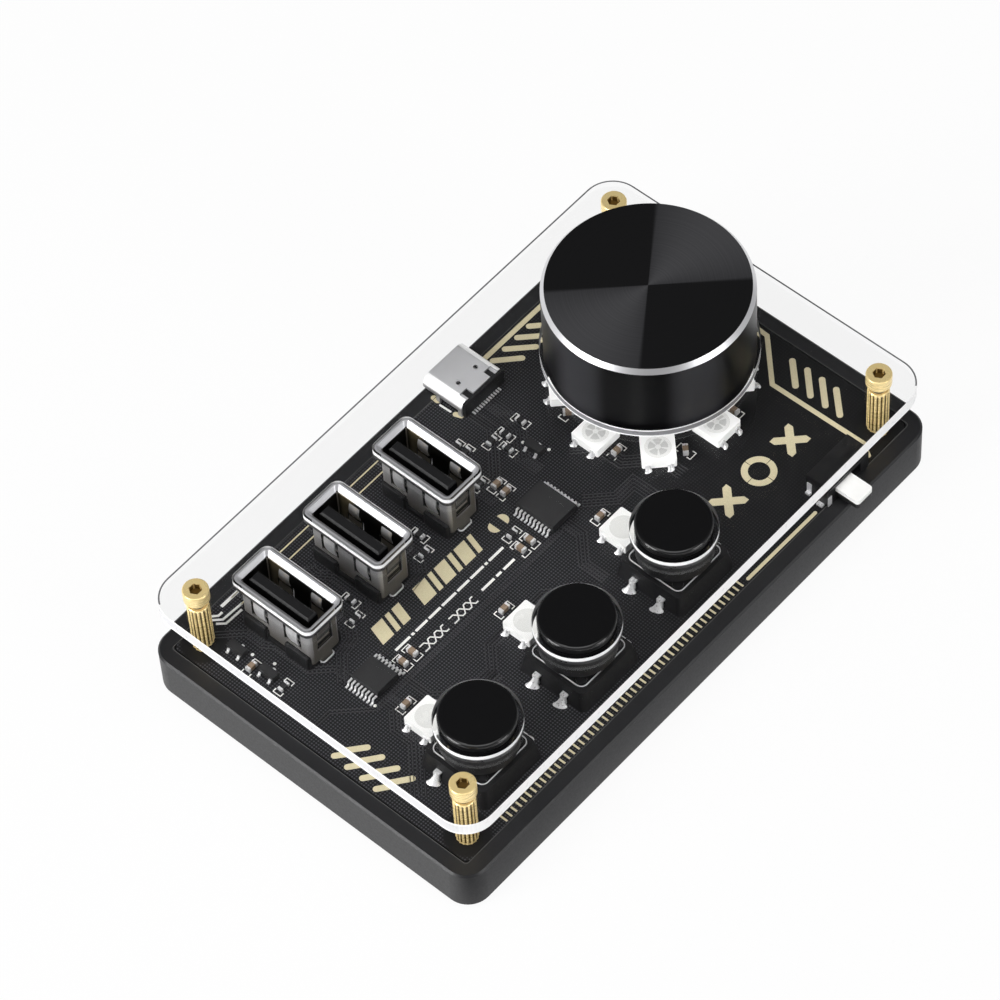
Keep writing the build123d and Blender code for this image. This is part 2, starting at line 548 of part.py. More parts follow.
def make_key_cap(x, y, under, stem_top):
    top = COVER_TOP + KEY_CAP_PROUD
    groove = top - KEY_GROOVE_DROP
    cap = drum(x, y, KEY_CAP_RADIUS, under, top)
    cap = fillet(cap.faces().sort_by(Axis.Z)[-1].edges(), KEY_CAP_ROUND)
    ring = drum(x, y, KEY_CAP_RADIUS + 1, groove - KEY_GROOVE_WIDTH, groove)
    cap -= ring - drum(x, y, KEY_CAP_RADIUS - KEY_GROOVE_DEPTH, groove - KEY_GROOVE_WIDTH, groove)
    boss = STEM_SQUARE / sqrt(2) + KEY_CAP_BOSS_WALL
    hollow = drum(x, y, KEY_CAP_RADIUS - KEY_CAP_WALL, under, under + KEY_CAP_SKIRT)
    cap -= hollow - drum(x, y, boss, under, under + KEY_CAP_SKIRT)
    socket = STEM_SQUARE + 2 * FIT
    return cap - slab(x, y, socket, socket, under, stem_top + FIT)


# ---------------------------------------------------------------- encoder and knob
def encoder_pin_spots():
    """Middle of each terminal's foot, and the side of the housing that it is on."""
    return [(KNOB_X + place * ENCODER_PIN_PITCH, KNOB_Y + row * ENCODER_PIN_ROW, row)
            for row, places in ((-1, (-1, 0, 1)), (1, (-1, 1))) for place in places]


def make_encoder():
    """Housing, metal bracket with its bushing, terminals, shaft, pusher and snap dome."""
    x, y = KNOB_X, KNOB_Y
    body_top = BOARD_TOP + ENCODER_BODY_HEIGHT
    plate_top = body_top + ENCODER_PLATE_THICKNESS
    bushing_top = plate_top + BUSHING_HEIGHT
    dome_floor = BOARD_TOP + PUSH_DOME_FLOOR
    shoulder = body_top - PUSH_TRAVEL - PUSHER_CLEAR     # room for the shaft's shoulder when pressed
    housing = rounded(x, y, ENCODER_SIZE - 2 * ENCODER_PLATE_THICKNESS, ENCODER_SIZE, ENCODER_CORNER,
                      BOARD_TOP, body_top)
    housing -= drum(x, y, PUSHER_RADIUS + PUSHER_CLEAR, dome_floor, body_top)
    housing -= drum(x, y, SHAFT_RADIUS + SHAFT_CLEAR, shoulder, body_top)

    bracket = rounded(x, y, ENCODER_SIZE, ENCODER_SIZE, ENCODER_CORNER, body_top, plate_top)
    bracket += drum(x, y, BUSHING_RADIUS, plate_top, bushing_top)
    outer = ENCODER_SIZE / 2
    inner = outer - ENCODER_PLATE_THICKNESS
    for side in (-1, 1):
        bracket += block(x + side * inner, x + side * outer, y - outer / 2, y + outer / 2, BOARD_TOP,
                         body_top)
        bracket += block(x + side * inner, x + side * outer, y - ENCODER_LEG_WIDTH / 2,
                         y + ENCODER_LEG_WIDTH / 2, PIN_TIP, BOARD_TOP)
    bracket -= drum(x, y, SHAFT_RADIUS + SHAFT_CLEAR, body_top, bushing_top)

    pins = []
    pin_under = BOARD_TOP + ENCODER_PIN_RISE
    pin_top = pin_under + ENCODER_PIN_THICKNESS
    for pin_x, pin_y, row in encoder_pin_spots():
        half = ENCODER_PIN_WIDTH / 2
        pin = block(pin_x - half, pin_x + half, y + row * outer, pin_y, pin_under, pin_top)
        pin += slab(pin_x, pin_y, ENCODER_PIN_WIDTH, ENCODER_PIN_THICKNESS, PIN_TIP, pin_top)
        pins.append(pin)

    shaft = drum(x, y, SHAFT_RADIUS, body_top, SHAFT_TOP)
    shaft = chamfer(shaft.faces().sort_by(Axis.Z)[-1].edges(), EDGE_BEVEL)
    shaft += drum(x, y, PUSHER_RADIUS, SHAFT_FOOT, body_top)
    shaft -= block(x + SHAFT_FLAT, x + 2 * SHAFT_RADIUS, y - SHAFT_RADIUS, y + SHAFT_RADIUS,
                   SHAFT_TOP - SHAFT_FLAT_LENGTH, SHAFT_TOP)
    return {"housing": housing, "bracket": bracket, "terminals": group(pins), "shaft": shaft,
            "pusher": drum(x, y, PUSHER_RADIUS, PUSHER_REST, SHAFT_FOOT),
            "dome": dome(x, y, PUSH_DOME_RADIUS, PUSH_DOME_RISE, dome_floor)}


def grub_axis():
    """Plane whose normal runs out of the knob along the grub screw."""
    outward = (cos(radians(GRUB_ANGLE)), sin(radians(GRUB_ANGLE)), 0)
    return Plane(origin=(KNOB_X, KNOB_Y, KNOB_RECESS_TOP + GRUB_LIFT), z_dir=outward)


def make_knob():
    x, y = KNOB_X, KNOB_Y
    bore = SHAFT_RADIUS + FIT
    knob = revolved([(0, KNOB_UNDER), (KNOB_RADIUS - EDGE_BEVEL, KNOB_UNDER),
                     (KNOB_RADIUS, KNOB_UNDER + EDGE_BEVEL), (KNOB_RADIUS, KNOB_TOP - KNOB_CHAMFER_DOWN),
                     (KNOB_RADIUS - KNOB_CHAMFER_IN, KNOB_TOP), (0, KNOB_TOP)], x, y)
    knob -= drum(x, y, KNOB_RECESS_RADIUS, KNOB_UNDER, KNOB_RECESS_TOP)
    flat = block(x + SHAFT_FLAT + FIT, x + 2 * bore, y - bore, y + bore, KNOB_RECESS_TOP, KNOB_BORE_TOP)
    knob -= drum(x, y, bore, KNOB_RECESS_TOP, KNOB_BORE_TOP) - flat
    hole = grub_axis() * Cylinder(GRUB_RADIUS + FIT, 2 * KNOB_RADIUS,
                                  align=(Align.CENTER, Align.CENTER, Align.MIN))
    return knob - hole


def make_grub_screw():
    start = SHAFT_RADIUS + FIT
    end = start + GRUB_LENGTH
    return grub_axis() * (drum(0, 0, GRUB_RADIUS, start, end)
                          - hexagon(GRUB_HEX_ACROSS, 0, 0, end - GRUB_HEX_DEPTH, end))


# ---------------------------------------------------------------- USB-A sockets
def finger(out):
    """Sprung finger of a socket wall at distance out from the middle, its free end down.

    It leans in from its root to a knee and turns out again at the tip.
    """
    inner = out - USB_A_SHEET
    root = USB_A_TOP - FINGER_DROP
    tip = root - FINGER_LENGTH
    knee = tip + FINGER_CURL
    turn = FINGER_BEND / 2
    return sheet_strip([(inner, root), (out, root), (out - FINGER_BEND, knee), (out - turn, tip),
                        (inner - turn, tip), (inner - FINGER_BEND, knee)], FINGER_WIDTH)


def finger_window(out):
    """Opening in a socket wall that a finger stands in."""
    width = FINGER_WIDTH + 2 * FINGER_SLOT
    root = USB_A_TOP - FINGER_DROP
    return block(out - 2 * USB_A_SHEET, out + USB_A_SHEET, -width / 2, width / 2,
                 root - FINGER_LENGTH - FINGER_SLOT, root)


def make_usb_a_shell():
    """Folded socket shell about its own axis, heights above the board.

    A tube with flared lips, two sprung fingers in each long wall and one in each end wall. The end
    walls and a tab in the middle of each long wall reach lower than the rest, and a leg at each end
    goes through the board.
    """
    neck = USB_A_TOP - USB_A_FLARE_HEIGHT
    round_in, round_out = USB_A_MOUTH_ROUND, USB_A_MOUTH_ROUND + USB_A_SHEET

    def section(size_x, size_y, radius, z):
        return Pos(0, 0, z) * RectangleRounded(size_x, size_y, radius)

    def flared(size_x, size_y, radius):
        tube = rounded(0, 0, size_x, size_y, radius, USB_A_END_FOOT, neck)
        return tube + loft([section(size_x, size_y, radius, neck),
                            section(size_x + 2 * USB_A_FLARE_X, size_y + 2 * USB_A_FLARE_Y,
                                    radius + USB_A_FLARE_ROUND, USB_A_TOP)])

    shell = flared(USB_A_OUTER_X, USB_A_OUTER_Y, round_out)
    shell -= flared(USB_A_MOUTH_X, USB_A_MOUTH_Y, round_in)
    for side_x in (-1, 1):
        for side_y in (-1, 1):
            shell -= block(side_x * USB_A_MOUTH_X / 4, side_x * USB_A_OUTER_X, side_y * USB_A_TAB_WIDTH / 2,
                           side_y * USB_A_MOUTH_Y / 2, USB_A_END_FOOT, USB_A_WALL_FOOT)
    places = [(Rot(0, 0, turn) * Pos(0, shift, 0), USB_A_OUTER_X / 2)
              for turn in (0, 180) for shift in (-FINGER_OFFSET, FINGER_OFFSET)]
    places += [(Rot(0, 0, turn), USB_A_OUTER_Y / 2) for turn in (90, 270)]
    for place, out in places:
        shell -= place * finger_window(out)
        shell += place * finger(out)
    for side in (-1, 1):
        shell += block(-USB_A_LEG_WIDTH / 2, USB_A_LEG_WIDTH / 2, side * USB_A_MOUTH_Y / 2,
                       side * USB_A_OUTER_Y / 2, PIN_TIP - BOARD_TOP, USB_A_END_FOOT)
    return shell


def make_usb_a_contacts():
    face, back = USB_A_FACE, USB_A_FACE + USB_A_CONTACT_THICKNESS
    foot = PIN_TIP - BOARD_TOP
    tip = USB_A_TOP - USB_A_TONGUE_SET_BACK - USB_A_CONTACT_TIP
    knee, root = tip - USB_A_CONTACT_KNEE, tip - USB_A_CONTACT_ROOT
    bulge = USB_A_CONTACT_BULGE
    strip = sheet_strip([(face, foot), (back, foot), (back, root), (back + bulge, knee), (back, tip),
                         (face, tip), (face + bulge - USB_A_CONTACT_THICKNESS, knee), (face, root)],
                        USB_A_CONTACT_WIDTH)
    for side in (-1, 1):
        strip -= block(face, back, side * USB_A_PIN_WIDTH / 2, side * USB_A_CONTACT_WIDTH, foot, 0)
    return [Pos(0, offset, 0) * strip for offset in USB_A_CONTACTS]


def make_usb_a_insulator(contacts):
    """Base with feet outside the shell's long walls, a plug inside the shell, and the tongue."""
    inner_x, inner_y = USB_A_MOUTH_X - 2 * FIT, USB_A_MOUTH_Y - 2 * FIT
    base_x = USB_A_OUTER_X + 2 * USB_A_BLOCK_PROUD
    body = slab(0, 0, base_x, inner_y, 0, USB_A_WALL_FOOT)
    body = chamfer(body.faces().sort_by(Axis.Z)[-1].edges().filter_by(Axis.Y), USB_A_BLOCK_BEVEL)
    channel = USB_A_TAB_WIDTH / 2 + USB_A_BLOCK_GAP
    for side in (-1, 1):
        body -= block(side * inner_x / 2, side * base_x / 2, -channel, channel,
                      USB_A_END_FOOT - USB_A_BLOCK_GAP, USB_A_WALL_FOOT)
    body += rounded(0, 0, inner_x, inner_y, USB_A_MOUTH_ROUND, USB_A_WALL_FOOT,
                    USB_A_WALL_FOOT + USB_A_PLUG_DEPTH)
    tongue = slab(USB_A_FACE - USB_A_TONGUE_THICKNESS / 2, 0, USB_A_TONGUE_THICKNESS,
                  USB_A_MOUTH_Y - 2 * USB_A_TONGUE_SIDE, 0, USB_A_TOP - USB_A_TONGUE_SET_BACK)
    body += chamfer(tongue.faces().sort_by(Axis.Z)[-1].edges(), EDGE_BEVEL)
    return body - contacts


# ---------------------------------------------------------------- USB-C inlet
def usb_c_tube(width, height, y0, y1):
    """Flat-sided oval bar along Y, on the inlet's axis."""
    centre = Plane(origin=(USB_C_X, y0, BOARD_TOP + USB_C_HEIGHT / 2), z_dir=(0, 1, 0),
                   x_dir=(1, 0, 0))
    return extrude(centre * SlotOverall(width, height), amount=y1 - y0)


def make_usb_c():
    inner_w, inner_h = USB_C_WIDTH - 2 * USB_C_SHEET, USB_C_HEIGHT - 2 * USB_C_SHEET
    mouth, rear = USB_C_MOUTH_Y, USB_C_REAR_Y
    top = BOARD_TOP + USB_C_HEIGHT
    middle = BOARD_TOP + USB_C_HEIGHT / 2
    shell = usb_c_tube(USB_C_WIDTH, USB_C_HEIGHT, rear, mouth)
    shell -= usb_c_tube(inner_w, inner_h, rear, mouth)
    for side in (-1, 1):
        shell -= slab(USB_C_X + side * USB_C_NOTCH_OFFSET, rear, USB_C_NOTCH_WIDTH,
                      2 * USB_C_NOTCH_DEPTH, top - USB_C_SHEET, top)
        shell -= drum(USB_C_X + side * USB_C_DIMPLE_OFFSET, rear + USB_C_DIMPLE_FROM_REAR,
                      USB_C_DIMPLE_RADIUS, top - USB_C_SHEET, top)
        for place in USB_C_LEG_YS:
            shell += block(USB_C_X + side * inner_w / 2, USB_C_X + side * USB_C_WIDTH / 2,
                           place - USB_C_LEG_WIDTH / 2, place + USB_C_LEG_WIDTH / 2, BOARD_UNDER, middle)

    block_front = rear + USB_C_BLOCK_DEPTH
    block_back = rear - USB_C_TAIL
    tongue_tip = mouth - USB_C_TONGUE_SET_BACK
    insulator = usb_c_tube(inner_w, inner_h, rear, block_front)
    insulator += block(USB_C_X - inner_w / 2, USB_C_X + inner_w / 2, block_back, rear, BOARD_TOP,
                       top - USB_C_SHEET)
    insulator += block(USB_C_X - USB_C_TONGUE_WIDTH / 2, USB_C_X + USB_C_TONGUE_WIDTH / 2,
                       block_front, tongue_tip, middle - USB_C_TONGUE_THICKNESS / 2,
                       middle + USB_C_TONGUE_THICKNESS / 2)

    contacts = []
    half_row = (USB_C_CONTACT_COUNT - 1) / 2
    for n in range(USB_C_CONTACT_COUNT):
        x0 = USB_C_X + (n - half_row) * USB_C_CONTACT_PITCH - USB_C_CONTACT_WIDTH / 2
        x1 = x0 + USB_C_CONTACT_WIDTH
        for side in (-1, 1):
            face = middle + side * USB_C_TONGUE_THICKNESS / 2
            contacts.append(block(x0, x1, block_front, tongue_tip - USB_C_CONTACT_SET_BACK, face,
                                  face + side * USB_C_CONTACT_THICKNESS))
        contacts.append(block(x0, x1, block_back - USB_C_PIN_LENGTH, block_back, BOARD_TOP,
                              BOARD_TOP + USB_C_PIN_THICKNESS))
    return {"shell": shell, "insulator": insulator, "contacts": group(contacts)}


# ---------------------------------------------------------------- slide switch
def make_slide_switch():
    x0, x1 = SLIDE_X - SLIDE_LENGTH / 2, SLIDE_X + SLIDE_LENGTH / 2
    y0, y1 = SLIDE_FRONT_Y, SLIDE_REAR_Y
    frame_under = BOARD_TOP + SLIDE_HEIGHT - SLIDE_FRAME
    window_z0, window_z1 = BOARD_TOP + SLIDE_WINDOW_FLOOR, frame_under - SLIDE_WINDOW_LIP
    slider_z0, slider_z1 = window_z0 - SLIDER_LIP, window_z1 + SLIDER_LIP
    cavity_y0, cavity_y1 = y0 + SLIDE_WALL, y1 - SLIDE_BACK
    run = (LEVER_TRAVEL + SLIDER_LENGTH) / 2 + LEVER_CLEAR
    window = (LEVER_TRAVEL + LEVER_WIDTH) / 2 + LEVER_CLEAR
    housing = block(x0, x1, y0, y1, BOARD_TOP, frame_under)
    housing -= block(SLIDE_X - run, SLIDE_X + run, cavity_y0, cavity_y1, slider_z0 - LEVER_CLEAR,
                     frame_under)
    housing -= block(SLIDE_X - window, SLIDE_X + window, y0, cavity_y0, window_z0, window_z1)

    frame = block(x0 - SLIDE_FRAME, x1 + SLIDE_FRAME, y0, y1, frame_under, frame_under + SLIDE_FRAME)
    for side, wall in ((-1, x0), (1, x1)):
        outer = wall + side * SLIDE_FRAME
        tab_top = BOARD_TOP + SLIDE_FRAME
        frame += block(wall, outer, y0, y1, tab_top, frame_under)
        frame += block(wall, outer, SLIDE_MIDDLE_Y - SLIDE_TAB_WIDTH / 2,
                       SLIDE_MIDDLE_Y + SLIDE_TAB_WIDTH / 2, BOARD_UNDER, tab_top)

    pins = [slab(x, y, SLIDE_PIN_WIDTH, SLIDE_PIN_THICKNESS, PIN_TIP, BOARD_TOP + SLIDE_WINDOW_FLOOR)
            for x, y in slide_pin_spots()]

    lever_z0, lever_z1 = window_z0 + LEVER_CLEAR, window_z1 - LEVER_CLEAR
    slider_y0, slider_y1 = cavity_y0 + LEVER_CLEAR, cavity_y1 - LEVER_CLEAR
    lever = rounded(LEVER_X, y0 - LEVER_PROUD / 2, LEVER_WIDTH, LEVER_PROUD, LEVER_ROUND,
                    lever_z0, lever_z1)
    lever += block(LEVER_X - LEVER_WIDTH / 2, LEVER_X + LEVER_WIDTH / 2, y0 - LEVER_ROUND, slider_y0,
                   lever_z0, lever_z1)
    lever += block(LEVER_X - SLIDER_LENGTH / 2, LEVER_X + SLIDER_LENGTH / 2, slider_y0, slider_y1,
                   slider_z0, slider_z1)
    return {"housing": housing, "frame": frame, "terminals": group(pins), "lever": lever}


def slide_pin_spots():
    return [(SLIDE_X + n * SLIDE_PIN_PITCH, SLIDE_REAR_Y + SLIDE_PIN_THICKNESS / 2) for n in (-1, 0, 1)]


# ---------------------------------------------------------------- lamps
def make_led():
    """White body, lens and leads of one lamp about its own axis, leads on the -X and +X sides."""
    top = BOARD_TOP + LED_HEIGHT
    lens = drum(0, 0, LED_LENS_RADIUS, top - LED_LENS_DEPTH, top)
    body = rounded(0, 0, LED_SIZE, LED_SIZE, LED_CORNER, BOARD_TOP, top) - lens
    leads = []
    for side in (-1, 1):
        wall = side * LED_SIZE / 2
        for offset in (-LED_LEAD_OFFSET, LED_LEAD_OFFSET):
            y0, y1 = offset - LED_LEAD_WIDTH / 2, offset + LED_LEAD_WIDTH / 2
            lead = block(wall, wall + side * LED_LEAD_OUT, y0, y1, BOARD_TOP,
                         BOARD_TOP + LED_LEAD_THICKNESS)
            lead += block(wall, wall + side * LED_LEAD_THICKNESS, y0, y1, BOARD_TOP,
                          BOARD_TOP + LED_LEAD_RISE)
            leads.append(lead)
    return body, lens, group(leads)


def ring_spots():
    """Place and turn of each lamp of the ring round the knob."""
    return [Pos(KNOB_X, KNOB_Y, 0) * Rot(0, 0, 360 / RING_COUNT * n) * Pos(RING_RADIUS, 0, 0)
            for n in range(RING_COUNT)]


def key_lamp_spots():
    return [Pos(x, KEY_Y + KEY_TO_LAMP, 0) for x in KEY_XS]


# ---------------------------------------------------------------- chips and small parts
def gull_lead(inner, outer, height, width, foot):
    """One chip lead on the +X side: out of the body, down, and a foot on the board."""
    bend = outer - foot
    thickness = CHIP_LEAD_THICKNESS
    return sheet_strip([(inner, height), (bend - thickness / 2, height), (bend + thickness / 2, thickness),
                        (outer, thickness), (outer, 0), (bend, 0), (bend - thickness, height - thickness),
                        (inner, height - thickness)], width)


def make_chip(place, size, span, leads_a_side):
    """Moulded body with drafted sides, and its two rows of leads."""
    x, y = place
    size_x, size_y = size
    foot = BOARD_TOP + CHIP_STANDOFF
    mid = foot + CHIP_HEIGHT / 2
    levels = [Pos(x, y, z) * Rectangle(size_x - 2 * inset, size_y - 2 * inset)
              for z, inset in ((foot, CHIP_DRAFT), (mid, 0), (foot + CHIP_HEIGHT, CHIP_DRAFT))]
    body = loft(levels[:2]) + loft(levels[1:])
    lead = gull_lead(size_x / 2, span / 2, mid - BOARD_TOP + CHIP_LEAD_THICKNESS / 2, CHIP_LEAD_WIDTH,
                     CHIP_LEAD_FOOT)
    first = -(leads_a_side - 1) / 2 * CHIP_PITCH
    leads = [Pos(x, y, BOARD_TOP) * Rot(0, 0, turn) * Pos(0, first + n * CHIP_PITCH, 0) * lead
             for turn in (0, 180) for n in range(leads_a_side)]
    return body, leads


def regulator_spots():
    spots = [(USB_A_XS[0] + dx, USB_A_Y + dy) for dx, dy in REGULATORS_FROM_SOCKET]
    dx, dy = REGULATOR_FROM_INLET
    return spots + [(USB_C_X + dx, USB_C_REAR_Y + dy)]


def make_regulator(x, y):
    """Small three-lead package: two leads on the -X side, one on the +X side."""
    size_x, size_y = REGULATOR_SIZE
    body = slab(x, y, size_x, size_y, BOARD_TOP + CHIP_STANDOFF, BOARD_TOP + REGULATOR_HEIGHT)
    lead = gull_lead(size_x / 2, REGULATOR_SPAN / 2, REGULATOR_HEIGHT / 2, REGULATOR_LEAD_WIDTH,
                     REGULATOR_LEAD_FOOT)
    spots = ((180, -REGULATOR_PITCH), (180, REGULATOR_PITCH), (0, 0))
    return body, [Pos(x, y, BOARD_TOP) * Rot(0, 0, turn) * Pos(0, shift, 0) * lead
                  for turn, shift in spots]


def make_small_part(height):
    """Body and two metal ends of a small part that lies along X."""
    top = BOARD_TOP + height
    body = slab(0, 0, SMALL_LENGTH - 2 * SMALL_END, SMALL_WIDTH, BOARD_TOP, top)
    ends = [slab(side * (SMALL_LENGTH - SMALL_END) / 2, 0, SMALL_END, SMALL_WIDTH, BOARD_TOP, top)
            for side in (-1, 1)]
    return body, ends


def spots_from(anchor, offsets, turn=0):
    """Places at offsets from an anchor point, each turned about the vertical."""
    return [Pos(anchor[0] + dx, anchor[1] + dy, 0) * Rot(0, 0, turn) for dx, dy in offsets]


def capacitor_spots():
    spots = spots_from(MAIN_CHIP, MAIN_CAPS_ALONG_X)
    spots += spots_from(MAIN_CHIP, MAIN_CAPS_ALONG_Y, 90)
    spots += spots_from(HUB_CHIP, HUB_CAPS_ALONG_Y, 90)
    spots += spots_from((USB_A_XS[0], USB_A_Y), SOCKET_CAPS_ALONG_X)
    spots += [spot * Pos(0, LAMP_TO_CAP, 0) for spot in key_lamp_spots()]
    return spots + [spot * Pos(0, RING_CAP_SIDE, 0) for spot in ring_spots()]


def resistor_spots():
    inlet = (USB_C_X, USB_C_REAR_Y)
    spots = spots_from(MAIN_CHIP, MAIN_RESISTORS_ALONG_X)
    spots += spots_from((USB_A_XS[0], USB_A_Y), SOCKET_RESISTORS_ALONG_X)
    for x in USB_A_XS[:-1]:
        spots += spots_from((x, USB_A_Y), BETWEEN_RESISTORS_ALONG_X)
        spots += spots_from((x, USB_A_Y), BETWEEN_RESISTORS_ALONG_Y, 90)
    spots += spots_from(inlet, INLET_RESISTORS_ALONG_X)
    return spots + spots_from(inlet, INLET_RESISTORS_ALONG_Y, 90)


# ---------------------------------------------------------------- what goes through the board
def through_parts():
    """Centre and size of every lead, leg and tab that passes through the board."""
    spots = [(x + sx * KEY_LEAD_ROW, KEY_Y + sy * KEY_LEAD_OFFSET, KEY_LEAD_THICKNESS, KEY_LEAD_TIP)
             for x in KEY_XS for sx in (-1, 1) for sy in (-1, 1)]
    spots += [(x, y, ENCODER_PIN_WIDTH, ENCODER_PIN_THICKNESS) for x, y, _ in encoder_pin_spots()]
    leg_x = (ENCODER_SIZE - ENCODER_PLATE_THICKNESS) / 2
    spots += [(KNOB_X + sx * leg_x, KNOB_Y, ENCODER_PLATE_THICKNESS, ENCODER_LEG_WIDTH) for sx in (-1, 1)]
    pin_x = USB_A_FACE + USB_A_CONTACT_THICKNESS / 2
    leg_y = (USB_A_MOUTH_Y + USB_A_SHEET) / 2
    for x in USB_A_XS:
        spots += [(x + pin_x, USB_A_Y + dy, USB_A_CONTACT_THICKNESS, USB_A_PIN_WIDTH)
                  for dy in USB_A_CONTACTS]
        spots += [(x, USB_A_Y + sy * leg_y, USB_A_LEG_WIDTH, USB_A_SHEET) for sy in (-1, 1)]
    leg_x = (USB_C_WIDTH - USB_C_SHEET) / 2
    spots += [(USB_C_X + sx * leg_x, y, USB_C_SHEET, USB_C_LEG_WIDTH) for sx in (-1, 1) for y in USB_C_LEG_YS]
    spots += [(x, y, SLIDE_PIN_WIDTH, SLIDE_PIN_THICKNESS) for x, y in slide_pin_spots()]
    tab_x = (SLIDE_LENGTH + SLIDE_FRAME) / 2
    spots += [(SLIDE_X + sx * tab_x, SLIDE_MIDDLE_Y, SLIDE_FRAME, SLIDE_TAB_WIDTH) for sx in (-1, 1)]
    return spots


# ---------------------------------------------------------------- assembly
def build_nodes():
    nodes = {"tray": make_tray(),
             "rubber_feet": group(make_foot(x, y) for x, y in FEET),
             "circuit_board": make_board(),
             "cover_plate": make_cover(),
             "fluted_pillars": group(make_pillar(x, y) for x, y in PILLARS),
             "cover_screws": group(make_cover_screw(x, y) for x, y in PILLARS),
             "base_screws": group(make_base_screw(x, y) for x, y in PILLARS),
             "knob": make_knob(),
             "knob_grub_screw": make_grub_screw()}
    nodes.update({f"encoder_{name}": shape for name, shape in make_encoder().items()})

    for number, x in enumerate(KEY_XS, start=1):
        nodes.update({f"key_{name}_{number}": shape for name, shape in make_key(x).items()})

    contacts = make_usb_a_contacts()
    shell = make_usb_a_shell()
    insulator = make_usb_a_insulator(contacts)
    for number, x in enumerate(USB_A_XS, start=1):
        place = Pos(x, USB_A_Y, BOARD_TOP)
        nodes[f"usb_a_shell_{number}"] = place * shell
        nodes[f"usb_a_insulator_{number}"] = place * insulator
        nodes[f"usb_a_contacts_{number}"] = group(place * contact for contact in contacts)
    nodes.update({f"usb_c_{name}": shape for name, shape in make_usb_c().items()})
    nodes.update({f"slide_switch_{name}": shape for name, shape in make_slide_switch().items()})

    body, lens, leads = make_led()
    lamps = ring_spots() + key_lamp_spots()
    nodes["led_bodies"] = group(spot * body for spot in lamps)
    nodes["led_lenses"] = group(spot * lens for spot in lamps)
    nodes["led_leads"] = group(spot * leads for spot in lamps)

    main, main_leads = make_chip(MAIN_CHIP, MAIN_CHIP_SIZE, MAIN_CHIP_SPAN, MAIN_CHIP_LEADS)
    hub, hub_leads = make_chip(HUB_CHIP, HUB_CHIP_SIZE, HUB_CHIP_SPAN, HUB_CHIP_LEADS)
    regulators = [make_regulator(x, y) for x, y in regulator_spots()]
    nodes["chip_bodies"] = group([main, hub] + [body for body, _ in regulators])
    nodes["chip_leads"] = group(main_leads + hub_leads + [lead for _, leads in regulators for lead in leads])
    capacitor, capacitor_ends = make_small_part(CAPACITOR_HEIGHT)
    resistor, resistor_ends = make_small_part(RESISTOR_HEIGHT)
    nodes["capacitors"] = group(spot * capacitor for spot in capacitor_spots())
    nodes["resistors"] = group(spot * resistor for spot in resistor_spots())
    nodes["component_ends"] = group([spot * end for spot in capacitor_spots() for end in capacitor_ends]
                                    + [spot * end for spot in resistor_spots() for end in resistor_ends])
    return nodes


os.makedirs("parts", exist_ok=True)
for node_name, node_shape in build_nodes().items():
    export_step(node_shape, f"parts/{node_name}.step")
    print(node_name, len(node_shape.solids()))
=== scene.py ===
"""Looks of a desk keypad with a knob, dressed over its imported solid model.

Every length is in millimetres, as on a drawing, and becomes metres where a mesh is made.
"""
from __future__ import annotations

import json
import logging
import math
from dataclasses import dataclass
from enum import Enum
from itertools import product

import bmesh
import bpy
from mathutils import Matrix, Vector

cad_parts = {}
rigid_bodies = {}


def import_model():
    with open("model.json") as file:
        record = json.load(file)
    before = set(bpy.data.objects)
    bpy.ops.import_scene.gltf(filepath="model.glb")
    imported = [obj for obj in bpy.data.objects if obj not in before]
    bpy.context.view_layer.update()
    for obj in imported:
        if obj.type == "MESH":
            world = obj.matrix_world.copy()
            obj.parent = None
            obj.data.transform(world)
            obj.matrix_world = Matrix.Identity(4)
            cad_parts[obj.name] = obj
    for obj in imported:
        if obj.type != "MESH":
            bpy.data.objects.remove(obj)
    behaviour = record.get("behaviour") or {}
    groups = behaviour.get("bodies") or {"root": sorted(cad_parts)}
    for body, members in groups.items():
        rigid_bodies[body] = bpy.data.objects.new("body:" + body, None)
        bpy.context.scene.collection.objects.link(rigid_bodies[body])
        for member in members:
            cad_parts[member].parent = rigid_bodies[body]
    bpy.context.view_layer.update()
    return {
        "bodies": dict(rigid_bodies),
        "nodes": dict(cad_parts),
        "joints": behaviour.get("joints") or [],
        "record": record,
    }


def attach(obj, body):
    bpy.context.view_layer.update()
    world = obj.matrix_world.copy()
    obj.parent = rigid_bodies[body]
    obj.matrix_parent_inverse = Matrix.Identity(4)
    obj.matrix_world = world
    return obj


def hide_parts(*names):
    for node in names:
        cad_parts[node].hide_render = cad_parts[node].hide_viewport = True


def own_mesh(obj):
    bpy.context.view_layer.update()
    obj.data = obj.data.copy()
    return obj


LOG = logging.getLogger("keypad")
MM = 0.001
BASE = "base"

BOARD_TOP = 7.5
KEY_XS = (-34.2, -13.7, 6.8)
KEY_Y = -18.3
KNOB_AXIS = (29.1, 5.0)
SOCKET_XS = (-35.2, -20.8, -6.4)
SOCKET_PITCH = 14.4
SOCKET_Y = 15.8
PILLAR = (44.1, 24.5)

LEVEL_PART = (1.0, 1.0, 0.0)
NOISE_SPAN = (0.3, 0.7)

Point = tuple[float, float]
Path = list[Point]
Place = tuple[float, float, float, float]


class Slot(Enum):
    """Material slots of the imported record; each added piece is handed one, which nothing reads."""

    MASK = "board_mask"
    GOLD = "gold_contact"
    WHITE = "white_plastic"
    LENS = "lens_resin"
    TIN = "solder_tin"
    STEEL = "socket_steel"
    NYLON = "black_nylon"
    SPRING = "spring_steel"


class Grain(Enum):
    """How a surface was worked, which decides the stretch of its fine pattern."""

    MOULDED = (1.0, 1.0, 1.0)
    DRAWN_UP = (1.0, 1.0, 0.12)
    ROLLED = (0.15, 1.0, 1.0)


